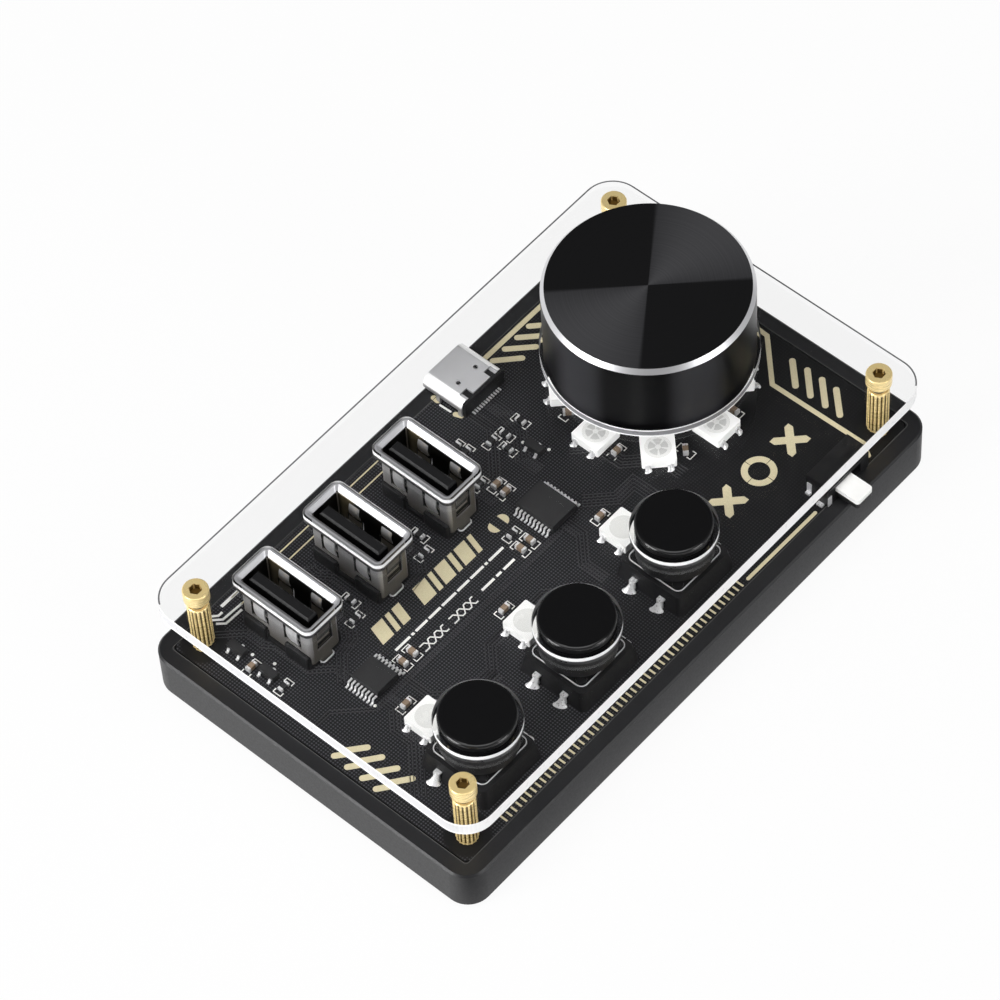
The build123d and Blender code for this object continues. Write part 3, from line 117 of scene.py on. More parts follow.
def linear(colour: str) -> tuple[float, float, float, float]:
    """Turns an sRGB hex colour to linear light.

    Args:
        colour: such as "#3a3a3c".

    Returns:
        Red, green, blue and a full alpha.
    """
    parts = [int(colour[start:start + 2], 16) / 255 for start in (1, 3, 5)]
    return (*(p / 12.92 if p <= 0.04045 else ((p + 0.055) / 1.055) ** 2.4 for p in parts), 1.0)


class Nodes:
    """A node tree that is being built."""

    def __init__(self, tree: bpy.types.NodeTree) -> None:
        """Takes up the tree."""
        self.tree = tree

    def fill(self, node: bpy.types.Node, given: dict) -> bpy.types.Node:
        """Fills inputs of a node.

        Args:
            node: the node.
            given: by input name or number: a node or socket to link, a hex colour, or a value.

        Returns:
            The same node.
        """
        for name, value in given.items():
            if isinstance(value, bpy.types.Node):
                value = next(output for output in value.outputs if output.enabled)
            if isinstance(value, bpy.types.NodeSocket):
                self.tree.links.new(value, node.inputs[name])
            elif isinstance(value, str) and value.startswith("#"):
                node.inputs[name].default_value = linear(value)
            else:
                node.inputs[name].default_value = value
        return node

    def add(self, kind: str, *given: object, **settings: object) -> bpy.types.Node:
        """Adds a node with its settings and links.

        Args:
            kind: its type, less "ShaderNode", and after a space its operation or data type.
            given: what goes into the inputs in use, in their order, or one dict of them for fill().
            settings: its other properties.

        Returns:
            The new node.
        """
        name, _, mode = kind.partition(" ")
        node = self.tree.nodes.new(name if "Node" in name else f"ShaderNode{name}")
        if mode:
            settings["data_type" if name == "Mix" else "operation"] = mode
        for setting, value in settings.items():
            setattr(node, setting, value)
        if given and isinstance(given[0], dict):
            return self.fill(node, given[0])
        in_use = [number for number, socket in enumerate(node.inputs) if socket.enabled]
        return self.fill(node, dict(zip(in_use, given)))


# ---------------------------------------------------------------- finishes


@dataclass(frozen=True)
class Finish:
    """A surface as its maker leaves it, with a fine grain of a real size.

    The grain is noise: it stirs the colour between two shades, the gloss, and a shallow bump.
    """

    label: str
    colour: str
    shade: str
    roughness: float
    metallic: float = 0.0
    specular: float = 0.5
    grain_mm: float = 0.4
    grain: Grain = Grain.MOULDED
    bump_mm: float = 0.01
    stir: float = 0.08
    coat: float = 0.0

    def material(self) -> bpy.types.Material:
        """Builds the material at its first call.

        Returns:
            The material, and the same one at each later call.
        """
        found = bpy.data.materials.get(self.label)
        if found:
            return found
        material = bpy.data.materials.new(self.label)
        material.use_nodes = True
        nodes = Nodes(material.node_tree)
        nodes.fill(nodes.tree.nodes["Principled BSDF"], {
            "Metallic": self.metallic, "Specular IOR Level": self.specular, "Coat Weight": self.coat,
            **self.pattern(nodes)})
        return material

    def place(self, nodes: Nodes) -> bpy.types.Node:
        """Gives the surface's own coordinates in millimetres."""
        return nodes.add("VectorMath SCALE", nodes.add("TexCoord").outputs["Object"], 1 / MM)

    def noise(self, nodes: Nodes) -> bpy.types.Node:
        """Gives the grain's noise, about 0.5, stretched as the surface was worked."""
        own = nodes.add("Mapping", {"Vector": self.place(nodes), "Scale": self.grain.value})
        return nodes.add("TexNoise", {"Vector": own, "Scale": 1 / self.grain_mm, "Detail": 3.0})

    def pattern(self, nodes: Nodes) -> dict:
        """Draws the surface; here, a plain grain.

        Args:
            nodes: the material's tree.

        Returns:
            What goes into the shader's inputs, by name.
        """
        noise = self.noise(nodes)
        tone = nodes.add("Mix RGBA", noise, self.colour, self.shade)
        return {"Base Color": tone, **self.grained(nodes, noise)}

    def grained(self, nodes: Nodes, noise: bpy.types.Node) -> dict:
        """Lets the grain stir the roughness and raise a shallow bump.

        Args:
            nodes: the material's tree.
            noise: the grain.

        Returns:
            The shader's roughness, and its normal where there is a bump.
        """
        half = self.stir / 2
        gloss = nodes.add("MapRange", noise, *NOISE_SPAN, self.roughness - half, self.roughness + half)
        made = {"Roughness": gloss}
        if self.bump_mm:
            made["Normal"] = nodes.add("Bump", {
                "Height": noise, "Distance": self.bump_mm * MM, "Strength": 0.6})
        return made


# Moulded ABS: a fine spark-eroded grain that turns every light into a wide soft sheen.
TRAY_ABS = Finish("tray_abs", "#1e1e20", "#19191b", 0.42, specular=0.42, grain_mm=0.3, bump_mm=0.01)
# Glass-filled nylon: plain satin black, slightly uneven where the fibres lie.
NYLON = Finish("socket_nylon", "#111112", "#161618", 0.5, specular=0.35, grain_mm=0.5, bump_mm=0.004)
# Silicone rubber: dead matt and a little dusty.
RUBBER = Finish("foot_silicone", "#1c1c1c", "#262626", 0.85, specular=0.2, grain_mm=0.6)
# Lacquered steel plate on each key switch: smooth, with a tight dark gloss.
LACQUER = Finish("black_lacquer", "#101011", "#161617", 0.34, specular=0.45, grain_mm=1.2, bump_mm=0.0)
# Zinc-plated steel of hidden screws, shaft and bracket: a warm grey mirror, slightly clouded.
ZINC = Finish("plated_zinc", "#b9b7b2", "#a5a39e", 0.34, metallic=1.0, grain_mm=0.4, bump_mm=0.004)
# Black oxide on the set screw: a thin dark skin with the steel's sheen below.
OXIDE = Finish("black_oxide", "#161616", "#212121", 0.5, metallic=0.6, grain_mm=0.3)
# Hard rolled spring sheet of the snap domes: fine streaks the way it was rolled.
SPRING = Finish("spring_sheet", "#b7b7b5", "#989896", 0.28, metallic=1.0, grain_mm=0.4, grain=Grain.ROLLED)
# Bowed fingers of the sockets: the same nickel as their shells, polished by the press.
FINGER_STEEL = Finish("pressed_nickel", "#e2e2e3", "#d6d6d7", 0.3, metallic=0.6, grain_mm=0.5,
                      grain=Grain.DRAWN_UP, bump_mm=0.0, stir=0.04)
# Gold flash over nickel on the contacts: warm and bright.
GOLD_FLASH = Finish("gold_flash", "#dcc07a", "#c9a95e", 0.3, metallic=0.9, grain_mm=0.3, bump_mm=0.002)
# Reflowed tin: bright, soft-edged, slightly lumpy.
TIN = Finish("reflowed_tin", "#f4f4f4", "#e2e2e3", 0.3, metallic=0.5, grain_mm=0.35, bump_mm=0.002, stir=0.1)
# Bright cut edge of a lacquered or plated sheet.
CUT_EDGE = Finish("bright_cut_edge", "#dcdcde", "#c4c4c6", 0.35, metallic=0.3, grain_mm=0.3, bump_mm=0.001)
# Immersion gold on bare pads: pale, satin, with a fine nickel grain below.
PAD_GOLD = Finish("immersion_gold", "#dfd6b6", "#cfc39c", 0.5, metallic=0.2, grain_mm=0.3, bump_mm=0.006)
# Screen-printed epoxy legend ink: chalky white.
LEGEND = Finish("legend_ink", "#f0f0ec", "#dededa", 0.6, specular=0.3, grain_mm=0.2)
# Copper under the mask: the mask's own black, a shade lighter where it is thin over the track.
MASKED_COPPER = Finish("masked_copper", "#2b2b2e", "#252527", 0.42, specular=0.4, grain_mm=0.5)
# Transfer-moulded epoxy of the chips, with its salt-and-pepper filler.
EPOXY = Finish("moulded_epoxy", "#2b2b2c", "#242425", 0.6, specular=0.25, grain_mm=0.12, bump_mm=0.006)
# Fired barium titanate of the capacitors: a matt biscuit brown.
CERAMIC = Finish("fired_ceramic", "#8d7965", "#7b6956", 0.45, grain_mm=0.25, bump_mm=0.004)
# Grey silicon and frame seen through the lamp's milky resin.
LAMP_FRAME = Finish("lamp_frame_haze", "#d6d6d4", "#dededc", 0.45, grain_mm=0.3)
# Bare glass-epoxy where the board was cut from its panel: a dusty grey line.
CUT_LAMINATE = Finish("cut_laminate", "#585857", "#464645", 0.6, specular=0.3, grain_mm=0.3)


@dataclass(frozen=True)
class SocketShell(Finish):
    """Nickel-plated pressed steel of the upright sockets: bright lips and fingers. Painted shade darkens the
    inside with its inner fingers, the walls towards the board, the end walls, slits beside the outer
    fingers and the underside of the lip; a painted reflection lies on the inside wall."""

    half_x: float = 2.64
    half_y: float = 6.33
    lip_z: float = 18.28
    finger_x: float = 2.5
    finger_y: float = 6.2
    # Painted shade: colour of the shell's inside.
    inside: str = "#121211"
    # Painted shade: greyer fingers inside the shell.
    shaded_finger: str = "#8a857d"
    # Painted shade: the walls' colour at the board.
    low: str = "#6b6761"
    # Painted shade under the lip.
    under_lip_shade: str = "#3a3a3c"
    # Painted shade on the end walls.
    end_wall_shade: str = "#6e6a63"
    end_slope: float = 0.95
    slot_middle: float = 3.05
    slot_half: float = 1.6
    slot_low: float = 10.8
    slot_high: float = 14.85
    # Painted shade: black in the slits beside each outer finger.
    slot: str = "#070707"
    # Painted reflection on the inside wall, with its place and half width below.
    sheen: str = "#5c5440"
    sheen_y: float = 4.5
    sheen_half: float = 1.7
    under_slope: Point = (-0.1, -0.3)

    def pattern(self, nodes: Nodes) -> dict:
        """Grades the outer walls by height into painted shade towards the board, paints the inside of each
        shell dark as painted shade, and adds a painted reflection there.

        Args:
            nodes: the material's tree.

        Returns:
            What goes into the shader's inputs.
        """
        add = nodes.add
        x, y, z = add("SeparateXYZ", self.place(nodes)).outputs
        start = SOCKET_XS[0] - SOCKET_PITCH / 2
        wrapped = add("Math WRAP", x, start + SOCKET_PITCH, start)
        from_y = add("Math SUBTRACT", y, SOCKET_Y)
        apart = [add("Math ABSOLUTE", add("Math SUBTRACT", wrapped, SOCKET_XS[0])),
                 add("Math ABSOLUTE", from_y)]
        within, leaning = (
            add("Math MULTIPLY", *(add("Math LESS_THAN", part, half) for part, half in zip(apart, halves)))
            for halves in ((self.half_x, self.half_y), (self.finger_x, self.finger_y)))
        # Painted shade inside each shell below its lip, with a painted reflection on the inside wall.
        shaded_inside = add("Math MULTIPLY", within, add("MapRange", z, self.lip_z - 0.15, self.lip_z + 0.1, 1.0, 0.0))
        near = add("Math ABSOLUTE", add("Math SUBTRACT", from_y, self.sheen_y))
        sheen = add("MapRange", near, self.sheen_half, self.sheen_half / 2)
        hidden = add("Mix RGBA", leaning, add("Mix RGBA", sheen, self.inside, self.sheen), self.shaded_finger)
        # Painted shade: the outer walls darken towards the board.
        rise = add("MapRange", z, BOARD_TOP + 1.0, self.lip_z - 1.0)
        noise = self.noise(nodes)
        wall = add("Mix RGBA", rise, self.low, add("Mix RGBA", noise, self.colour, self.shade))
        facing = add("SeparateXYZ", add("NewGeometry").outputs["True Normal"]).outputs
        # Painted shade on walls that face along the socket's length.
        at_end = add("Math GREATER_THAN", add("Math ABSOLUTE", facing[1]), self.end_slope)
        wall = add("Mix RGBA", at_end, wall, self.end_wall_shade)
        # Painted shade in the slits beside each outer finger.
        off = add("Math ABSOLUTE", add("Math SUBTRACT", apart[1], self.slot_middle))
        tall = add("Math COMPARE", z, (self.slot_low + self.slot_high) / 2,
                   (self.slot_high - self.slot_low) / 2)
        slot = add("Math MULTIPLY", add("Math LESS_THAN", off, self.slot_half), tall)
        wall = add("Mix RGBA", slot, wall, self.slot)
        # Painted shade on faces that look down, under the lip.
        wall = add("Mix RGBA", add("MapRange", facing[2], *self.under_slope), wall, self.under_lip_shade)
        return {"Base Color": add("Mix RGBA", shaded_inside, wall, hidden), **self.grained(nodes, noise)}


@dataclass(frozen=True)
class SolderMask(Finish):
    """Black glass-epoxy laminate: hatched copper shows through the mask as a lattice of fine dots.

    The dots thin out where the copper below is solid and near the pillars; painted shade darkens the whole
    board towards the front right.
    """

    hatch_mm: float = 0.62
    dot: str = "#454549"
    plain: str = "#0d0d0e"
    plain_from_x: float = 12.0
    plain_to_x: float = 34.0
    plain_share: float = 0.25
    pillar_clear: float = 3.4
    pillar_blur: float = 0.3
    # Painted shade towards the front right of the board.
    shade_way: tuple[float, float, float] = (0.75, -0.66, 0.0)
    shade_end: float = 18.0
    front_shade: str = "#070708"
    shade_share: float = 0.6
    dot_span: Point = (0.0, 0.7)

    def pattern(self, nodes: Nodes) -> dict:
        """Draws the dot lattice.

        Args:
            nodes: the material's tree.

        Returns:
            What goes into the shader's inputs.
        """
        add, place = nodes.add, self.place(nodes)
        turned = add("Mapping", {"Vector": place, "Rotation": (0.0, 0.0, math.radians(45)),
                                 "Scale": (math.tau / self.hatch_mm,) * 3})
        across = add("SeparateXYZ", turned).outputs
        lattice = add("Math MULTIPLY", add("Math SINE", across[0]), add("Math SINE", across[1]))
        dots = add("MapRange", lattice, *self.dot_span)
        solid = add("MapRange", add("SeparateXYZ", place).outputs[0], self.plain_from_x, self.plain_to_x, 1.0,
                    self.plain_share)
        folded = add("VectorMath MULTIPLY", add("VectorMath ABSOLUTE", place), LEVEL_PART)
        away = add("VectorMath DISTANCE", folded, (*PILLAR, 0.0))
        clear = add("MapRange", away, self.pillar_clear - self.pillar_blur,
                    self.pillar_clear + self.pillar_blur)
        shown = add("Math MULTIPLY", add("Math MULTIPLY", dots, solid), clear)
        dotted = add("Mix RGBA", shown, add("Mix RGBA", solid, self.plain, self.colour), self.dot)
        # Painted shade: the board darkens towards the front right.
        course = add("VectorMath DOT_PRODUCT", place, self.shade_way)
        thin = add("MapRange", course, 0.0, self.shade_end, 0.0, self.shade_share)
        tone = add("Mix RGBA", thin, dotted, self.front_shade)
        return {"Base Color": tone, **self.grained(nodes, self.noise(nodes))}


@dataclass(frozen=True)
class CastAcrylic(Finish):
    """Laser-cut cast acrylic: clear faces, and walls painted white as a stand-in for the light in them, with
    painted highlights along their edges.

    The rim of the plate is painted lighter than the walls of its holes, whitest where it faces the front; the
    holes' walls carry painted shade below, and the knob's bore is painted grey. A painted grey line on the
    top face stands for its far edge, and its far walls are seen through.
    """

    # Painted light: the walls' white, whiter lines along their edges and a whiter front.
    rim: str = "#d6d6d8"
    edge: str = "#f6f6f7"
    front_rim_light: str = "#fdfdfd"
    # Painted shade low in the holes' walls.
    hole_shade: str = "#2b2b2d"
    ior: float = 1.49
    half_x: float = 49.1
    half_y: float = 29.8
    under: float = 16.5
    top: float = 18.9
    rim_mm: float = 1.5
    edge_mm: float = 0.4
    edge_blur: float = 0.1
    hole_dark_mm: float = 1.35
    # Painted shade: grey of the knob's bore.
    bore_shade: str = "#78787b"
    bore_reach: float = 17.5
    corner: float = 4.7
    far_way: tuple[float, float, float] = (0.71, 0.7, 0.0)
    far_line: float = 0.24
    # Painted grey line on the top face along the far edge.
    far_edge_shade: str = "#6c6c6f"
    front_slope: Point = (-0.4, -0.9)
    cut_roughness: Point = (0.25, 0.4)

    def pattern(self, nodes: Nodes) -> dict:
        """Makes faces clear, paints light and shade on the walls, and lets the lamps through to what lies
        below.

        Args:
            nodes: the material's tree.

        Returns:
            What goes into the shader's inputs.
        """
        add, place = nodes.add, self.place(nodes)
        facing = add("SeparateXYZ", add("NewGeometry").outputs["True Normal"]).outputs
        clear = add("Math GREATER_THAN", add("Math ABSOLUTE", facing[2]), 0.5)
        x, y, z = add("SeparateXYZ", place).outputs
        near = add("Math MAXIMUM", *(add("Math SUBTRACT", add("Math ABSOLUTE", axis), half)
                                     for axis, half in ((x, self.half_x), (y, self.half_y))))
        is_rim = add("Math GREATER_THAN", near, -self.rim_mm)
        middle = (self.under + self.top) / 2
        line = (self.top - self.under) / 2 - self.edge_mm
        lined = add("MapRange", add("Math ABSOLUTE", add("Math SUBTRACT", z, middle)), line - self.edge_blur,
                    line + self.edge_blur)
        # Painted light on the plate's outer walls, whitest on the front.
        rim = add("Mix RGBA", lined, self.rim, self.edge)
        rim = add("Mix RGBA", add("MapRange", facing[1], *self.front_slope), rim, self.front_rim_light)
        # Painted shade low in the holes' walls and grey in the knob's bore.
        rise = add("MapRange", z, self.under + 1.0, self.under + self.hole_dark_mm)
        centre = add("VectorMath DISTANCE", place, (*KNOB_AXIS, middle))
        hole = add("Mix RGBA", add("Math LESS_THAN", centre, self.bore_reach),
                   add("Mix RGBA", rise, self.hole_shade, self.edge),
                   add("Mix RGBA", lined, self.bore_shade, self.edge))
        past = add("VectorMath SUBTRACT", add("VectorMath ABSOLUTE", place),
                   (self.half_x - self.corner, self.half_y - self.corner, 0.0))
        past = add("VectorMath MULTIPLY", add("VectorMath MAXIMUM", past, (0.0, 0.0, 0.0)),
                   add("VectorMath SIGN", place))
        past = add("VectorMath MULTIPLY", past, LEVEL_PART)
        # A painted grey line on the top face along the far edge.
        drawn = clear
        for value, limit in ((add("VectorMath LENGTH", past), self.corner - self.far_line),
                             (add("VectorMath DOT_PRODUCT", past, self.far_way), -1.0), (z, middle)):
            drawn = add("Math MULTIPLY", drawn, add("Math GREATER_THAN", value, limit))
        wall = add("Mix RGBA", drawn, add("Mix RGBA", is_rim, hole, rim), self.far_edge_shade)
        steep = add("Math SUBTRACT", 1.0, clear)
        clear = add("Math SUBTRACT", clear, drawn)
        cut = add("MapRange", self.noise(nodes), *NOISE_SPAN, *self.cut_roughness)
        behind = add("Math MULTIPLY", add("NewGeometry").outputs["Backfacing"], steep)
        open_way = add("BsdfTransparent")
        seen = add("MixShader", add("Math MULTIPLY", behind, is_rim),
                   nodes.tree.nodes["Principled BSDF"], open_way)
        both = add("MixShader", add("LightPath").outputs["Is Shadow Ray"], seen, open_way)
        nodes.fill(nodes.tree.nodes["Material Output"], {"Surface": both})
        return {"Roughness": add("Mix FLOAT", clear, cut, self.roughness),
                "Base Color": add("Mix RGBA", clear, wall, self.colour),
                "Transmission Weight": clear, "IOR": self.ior}


@dataclass(frozen=True)
class LampResin(Finish):
    """White translucent resin with painted light: the ring's lamps under the knob give off painted light,
    and the keys' lamps in the open are painted a shade greyer."""

    ring_reach: float = 17.0
    # Painted light given off by the ring's lamps.
    painted_glow: str = "#868686"

    def pattern(self, nodes: Nodes) -> dict:
        """Paints light on the ring's lamps and shade on the keys', parted by their distance from the knob's
        axis.

        Args:
            nodes: the material's tree.

        Returns:
            What goes into the shader's inputs.
        """
        add = nodes.add
        centre = add("VectorMath SUBTRACT", self.place(nodes), (*KNOB_AXIS, 0.0))
        away = add("VectorMath LENGTH", add("VectorMath MULTIPLY", centre, LEVEL_PART))
        near = add("Math LESS_THAN", away, self.ring_reach)
        # Painted shade greys the keys' lamps; painted light lifts the ring's.
        return {"Base Color": add("Mix RGBA", near, self.shade, self.colour),
                "Emission Color": add("Mix RGBA", near, "#000000", self.painted_glow), "Emission Strength": 1.0,
                **self.grained(nodes, self.noise(nodes))}


@dataclass(frozen=True)
class KeyPolish(Finish):
    """Polished acetal of a key cap; the skirt that runs under the cover plate is left satin."""

    skirt_top: float = 17.0
    blur: float = 0.1
    satin: float = 0.42

    def pattern(self, nodes: Nodes) -> dict:
        """Sets the gloss by height.

        Args:
            nodes: the material's tree.

        Returns:
            What goes into the shader's inputs.
        """
        up = nodes.add("SeparateXYZ", self.place(nodes)).outputs[2]
        return {"Base Color": nodes.add("Mix RGBA", self.noise(nodes), self.colour, self.shade),
                "Roughness": nodes.add("MapRange", up, self.skirt_top - self.blur, self.skirt_top + self.blur,
                                       self.satin, self.roughness)}


@dataclass(frozen=True)
class LeverResin(Finish):
    """White resin of the slide lever, with painted shade on its lower part."""

    # Painted shade on the lever's lower part: its colour, and the height it reaches.
    lower_shade: str = "#151516"
    shade_top: float = 9.4

    def pattern(self, nodes: Nodes) -> dict:
        """Paints the lower part dark by height.

        Args:
            nodes: the material's tree.

        Returns:
            What goes into the shader's inputs.
        """
        up = nodes.add("SeparateXYZ", self.place(nodes)).outputs[2]
        # Painted shade below that height.
        above = nodes.add("Math GREATER_THAN", up, self.shade_top)
        noise = self.noise(nodes)
        white = nodes.add("Mix RGBA", noise, self.colour, self.shade)
        return {"Base Color": nodes.add("Mix RGBA", above, self.lower_shade, white), **self.grained(nodes, noise)}


@dataclass(frozen=True)
class InletShell(Finish):
    """Nickel-plated inlet shell: a flat grey top, with a painted highlight where it bends over and painted
    shade down its sides.
    """

    # Painted highlight on the bends, and painted shade on the sides.
    bend_highlight: str = "#ffffff"
    side: str = "#8d8d8f"
    top_slope: Point = (0.97, 0.985)
    side_slope: Point = (0.3, 0.1)

    def pattern(self, nodes: Nodes) -> dict:
        """Paints a highlight on the bends and shade down the sides, by the sheet's slope.

        Args:
            nodes: the material's tree.

        Returns:
            What goes into the shader's inputs.
        """
        up = nodes.add("SeparateXYZ", nodes.add("NewGeometry").outputs["Normal"]).outputs[2]
        # Painted highlight where the sheet bends over, painted shade down its sides.
        tone = nodes.add("Mix RGBA", nodes.add("MapRange", up, *self.top_slope), self.bend_highlight, self.colour)
        tone = nodes.add("Mix RGBA", nodes.add("MapRange", up, *self.side_slope), tone, self.side)
        return {"Base Color": tone, **self.grained(nodes, self.noise(nodes))}


@dataclass(frozen=True)
class TurnedBrass(Finish):
    """Free-cutting brass turned on a lathe: fine rings round the axis over a warm bright metal, painted shade
    in the foot of each flute of the pillars, and painted shade in the hollow of each screw's head."""

    ring_mm: float = 0.12
    ring_stretch: tuple[float, float, float] = (0.05, 0.05, 1.0)
    flutes: int = 16
    # Painted shade in the foot of each flute.
    flute_shade: str = "#5a4618"
    flute_top: float = 16.1
    flute_foot: float = 7.9
    socket_reach: float = 0.92
    socket_rim: float = 20.7
    # Painted shade in the hollow of each screw's head.
    socket_shade: str = "#6f5524"
    groove_span: Point = (0.2, -0.5)

    def pattern(self, nodes: Nodes) -> dict:
        """Cuts the tool's rings into the gloss and the bump, and paints shade into flutes and hollows.

        Args:
            nodes: the material's tree.

        Returns:
            What goes into the shader's inputs.
        """
        add, place = nodes.add, self.place(nodes)
        stretched = add("Mapping", {"Vector": place, "Scale": self.ring_stretch})
        rings = add("TexNoise", {"Vector": stretched, "Scale": 1 / self.ring_mm, "Detail": 2.0})
        x, y, z = add("SeparateXYZ", place).outputs
        across, along = (add("Math SUBTRACT", add("Math ABSOLUTE", axis), spot)
                         for axis, spot in zip((x, y), PILLAR))
        around = add("Math MULTIPLY", add("Math ARCTAN2", along, across), float(self.flutes))
        groove = add("MapRange", add("Math COSINE", around), *self.groove_span)
        span = add("Math MULTIPLY", add("Math LESS_THAN", z, self.flute_top),
                   add("Math GREATER_THAN", z, self.flute_foot))
        reach = add("VectorMath LENGTH", add("CombineXYZ", across, along))
        hollow = add("Math MULTIPLY", add("Math LESS_THAN", reach, self.socket_reach),
                     add("Math LESS_THAN", z, self.socket_rim))
        # Painted shade in the screws' hollows and the pillars' flutes.
        metal = add("Mix RGBA", hollow, add("Mix RGBA", rings, self.colour, self.shade), self.socket_shade)
        dark = add("Math MULTIPLY", groove, span)
        return {"Base Color": add("Mix RGBA", dark, metal, self.flute_shade), **self.grained(nodes, rings)}


@dataclass(frozen=True)
class SpunKnob(Finish):
    """Black-anodised turned aluminium: a spun top with painted reflections in two opposite quarters,
    a bare diamond-cut chamfer, and a satin side with painted soft bands of light."""

    # Painted reflection: the lit quarters and their edges, and the unlit ones.
    reflected_quarter: str = "#454547"
    reflected_edge: str = "#353537"
    unlit_quarter: str = "#161617"
    quarter_blur: float = 0.06
    # Painted sheen: bands of light on the side.
    sheen_band: str = "#323235"
    bands_deg: Point = (178.0, -112.0)
    band_reach_deg: float = 20.0
    bare: str = "#dcdcde"
    bare_roughness: float = 0.36
    top_slope: float = 0.9
    chamfer_slope: float = 0.2
    light_middle_deg: float = -5.2
    light_width_deg: float = 81.3
    groove_mm: float = 0.22
    groove_depth: float = 0.16

    def pattern(self, nodes: Nodes) -> dict:
        """Paints grooves and quarters of painted reflection on the top, bare metal on the chamfer, and
        painted bands of light on the satin side.

        Args:
            nodes: the material's tree.

        Returns:
            What goes into the shader's inputs.
        """
        add = nodes.add
        centre = add("VectorMath SUBTRACT", self.place(nodes), (*KNOB_AXIS, 0.0))
        x, y, _ = add("SeparateXYZ", centre).outputs
        angle = add("Math ARCTAN2", y, x)
        turned = add("Math ADD", angle, -math.radians(self.light_middle_deg))
        wave = add("Math COSINE", add("Math MULTIPLY", turned, 2.0))
        limit = math.cos(math.radians(self.light_width_deg))
        quarter = add("MapRange", wave, limit - self.quarter_blur, limit + self.quarter_blur,
                      interpolation_type="SMOOTHSTEP")
        radius = add("VectorMath LENGTH", add("VectorMath MULTIPLY", centre, LEVEL_PART))
        groove = add("TexNoise", {"W": radius, "Scale": 1 / self.groove_mm, "Detail": 2.0},
                     noise_dimensions="1D")
        # Painted reflection in two opposite quarters of the top.
        light = add("Mix RGBA", add("MapRange", wave, limit, 1.0), self.reflected_edge, self.reflected_quarter)
        cut = add("MapRange", groove, *NOISE_SPAN, 0.0, self.groove_depth)
        top = add("Mix RGBA", cut, add("Mix RGBA", quarter, self.unlit_quarter, light), self.colour)
        up = add("SeparateXYZ", add("NewGeometry").outputs["True Normal"]).outputs[2]
        is_top = add("Math GREATER_THAN", up, self.top_slope)
        is_bare = add("Math SUBTRACT", add("Math GREATER_THAN", up, self.chamfer_slope), is_top)
        # Painted bands of light on the side.
        sheens = [add("MapRange", add("Math COSINE", add("Math ADD", angle, -math.radians(middle))),
                      math.cos(math.radians(self.band_reach_deg)), 1.0, interpolation_type="SMOOTHSTEP")
                  for middle in self.bands_deg]
        side = add("Mix RGBA", add("Math MAXIMUM", *sheens), self.colour, self.sheen_band)
        body = add("Mix RGBA", is_top, side, top)
        return {"Base Color": add("Mix RGBA", is_bare, body, self.bare), "Metallic": is_bare,
                "Roughness": add("Mix FLOAT", is_bare, self.roughness, self.bare_roughness),
                "Normal": add("Bump", {"Height": groove, "Distance": self.bump_mm * MM, "Strength": 0.3})}


INLET_NICKEL = InletShell("inlet_nickel", "#c2c2c4", "#bebec0", 0.32, metallic=0.35, grain_mm=0.6,
                          bump_mm=0.0, stir=0.02)
# Painted light on the ring's lamps, and painted shade, a greyer white, on the keys' lamps.
LAMP_RESIN = LampResin("lamp_resin", "#f8f8f6", "#efefed", 0.42, grain_mm=0.8, bump_mm=0.003)
LAMP_MILK = LampResin("lamp_silicone", "#ececea", "#dededb", 0.25, grain_mm=1.6, bump_mm=0.004,
                      painted_glow="#6c6c6c")
GLOSS_KEY = KeyPolish("key_acetal", "#121213", "#141415", 0.18, specular=0.4, grain_mm=2.0, coat=0.2)
LEVER_RESIN = LeverResin("lever_resin", "#fafaf8", "#f4f4f2", 0.42, grain_mm=0.8, bump_mm=0.003)
MASK = SolderMask("solder_mask", "#0e0e10", "#0e0e10", 0.5, specular=0.24, grain_mm=0.5, bump_mm=0.004)
ACRYLIC = CastAcrylic("cast_acrylic", "#ffffff", "#ffffff", 0.0, specular=0.2, grain_mm=0.8)
BRASS = TurnedBrass("lathe_brass", "#fbe6ac", "#f2d48e", 0.28, metallic=0.35, bump_mm=0.004, stir=0.1)
KNOB_BLACK = SpunKnob("anodised_knob", "#050506", "#080809", 0.34, specular=0.2, bump_mm=0.004)
SOCKET_STEEL = SocketShell("socket_nickel", "#c9c9cc", "#bebec1", 0.34, metallic=0.5, grain_mm=0.5,
                           grain=Grain.DRAWN_UP, bump_mm=0.0, stir=0.06)


# ---------------------------------------------------------------- flat shapes


def box(left: float, front: float, right: float, back: float) -> Path:
    """Outline of an upright rectangle."""
    return [(left, front), (right, front), (right, back), (left, back)]


def turned(shape: Path, turn: float, spot: Point) -> Path:
    """A shape turned by that many radians and moved to a spot."""
    cos, sin = math.cos(turn), math.sin(turn)
    return [(spot[0] + x * cos - y * sin, spot[1] + x * sin + y * cos) for x, y in shape]


def arc(centre: Point, radius: float, start: float, end: float, steps: int = 8) -> Path:
    """Points along a circle's arc, in degrees from the X axis, ends included."""
    turns = (math.radians(start + (end - start) * step / steps) for step in range(steps + 1))
    return [(centre[0] + radius * math.cos(turn), centre[1] + radius * math.sin(turn)) for turn in turns]


def round_box(spot: Point, reach: Point, radius: float) -> Path:
    """Closed line of a rounded rectangle.

    Args:
        spot: its middle.
        reach: from the middle to the corners' centres, along X and Y.
        radius: of the corners.

    Returns:
        The line, whose last point repeats the first.
    """
    path = []
    for quarter, (x, y) in enumerate(((1, 1), (-1, 1), (-1, -1), (1, -1))):
        corner = (spot[0] + x * reach[0], spot[1] + y * reach[1])
        path += arc(corner, radius, 90 * quarter, 90 * quarter + 90, 6)
    return path + path[:1]


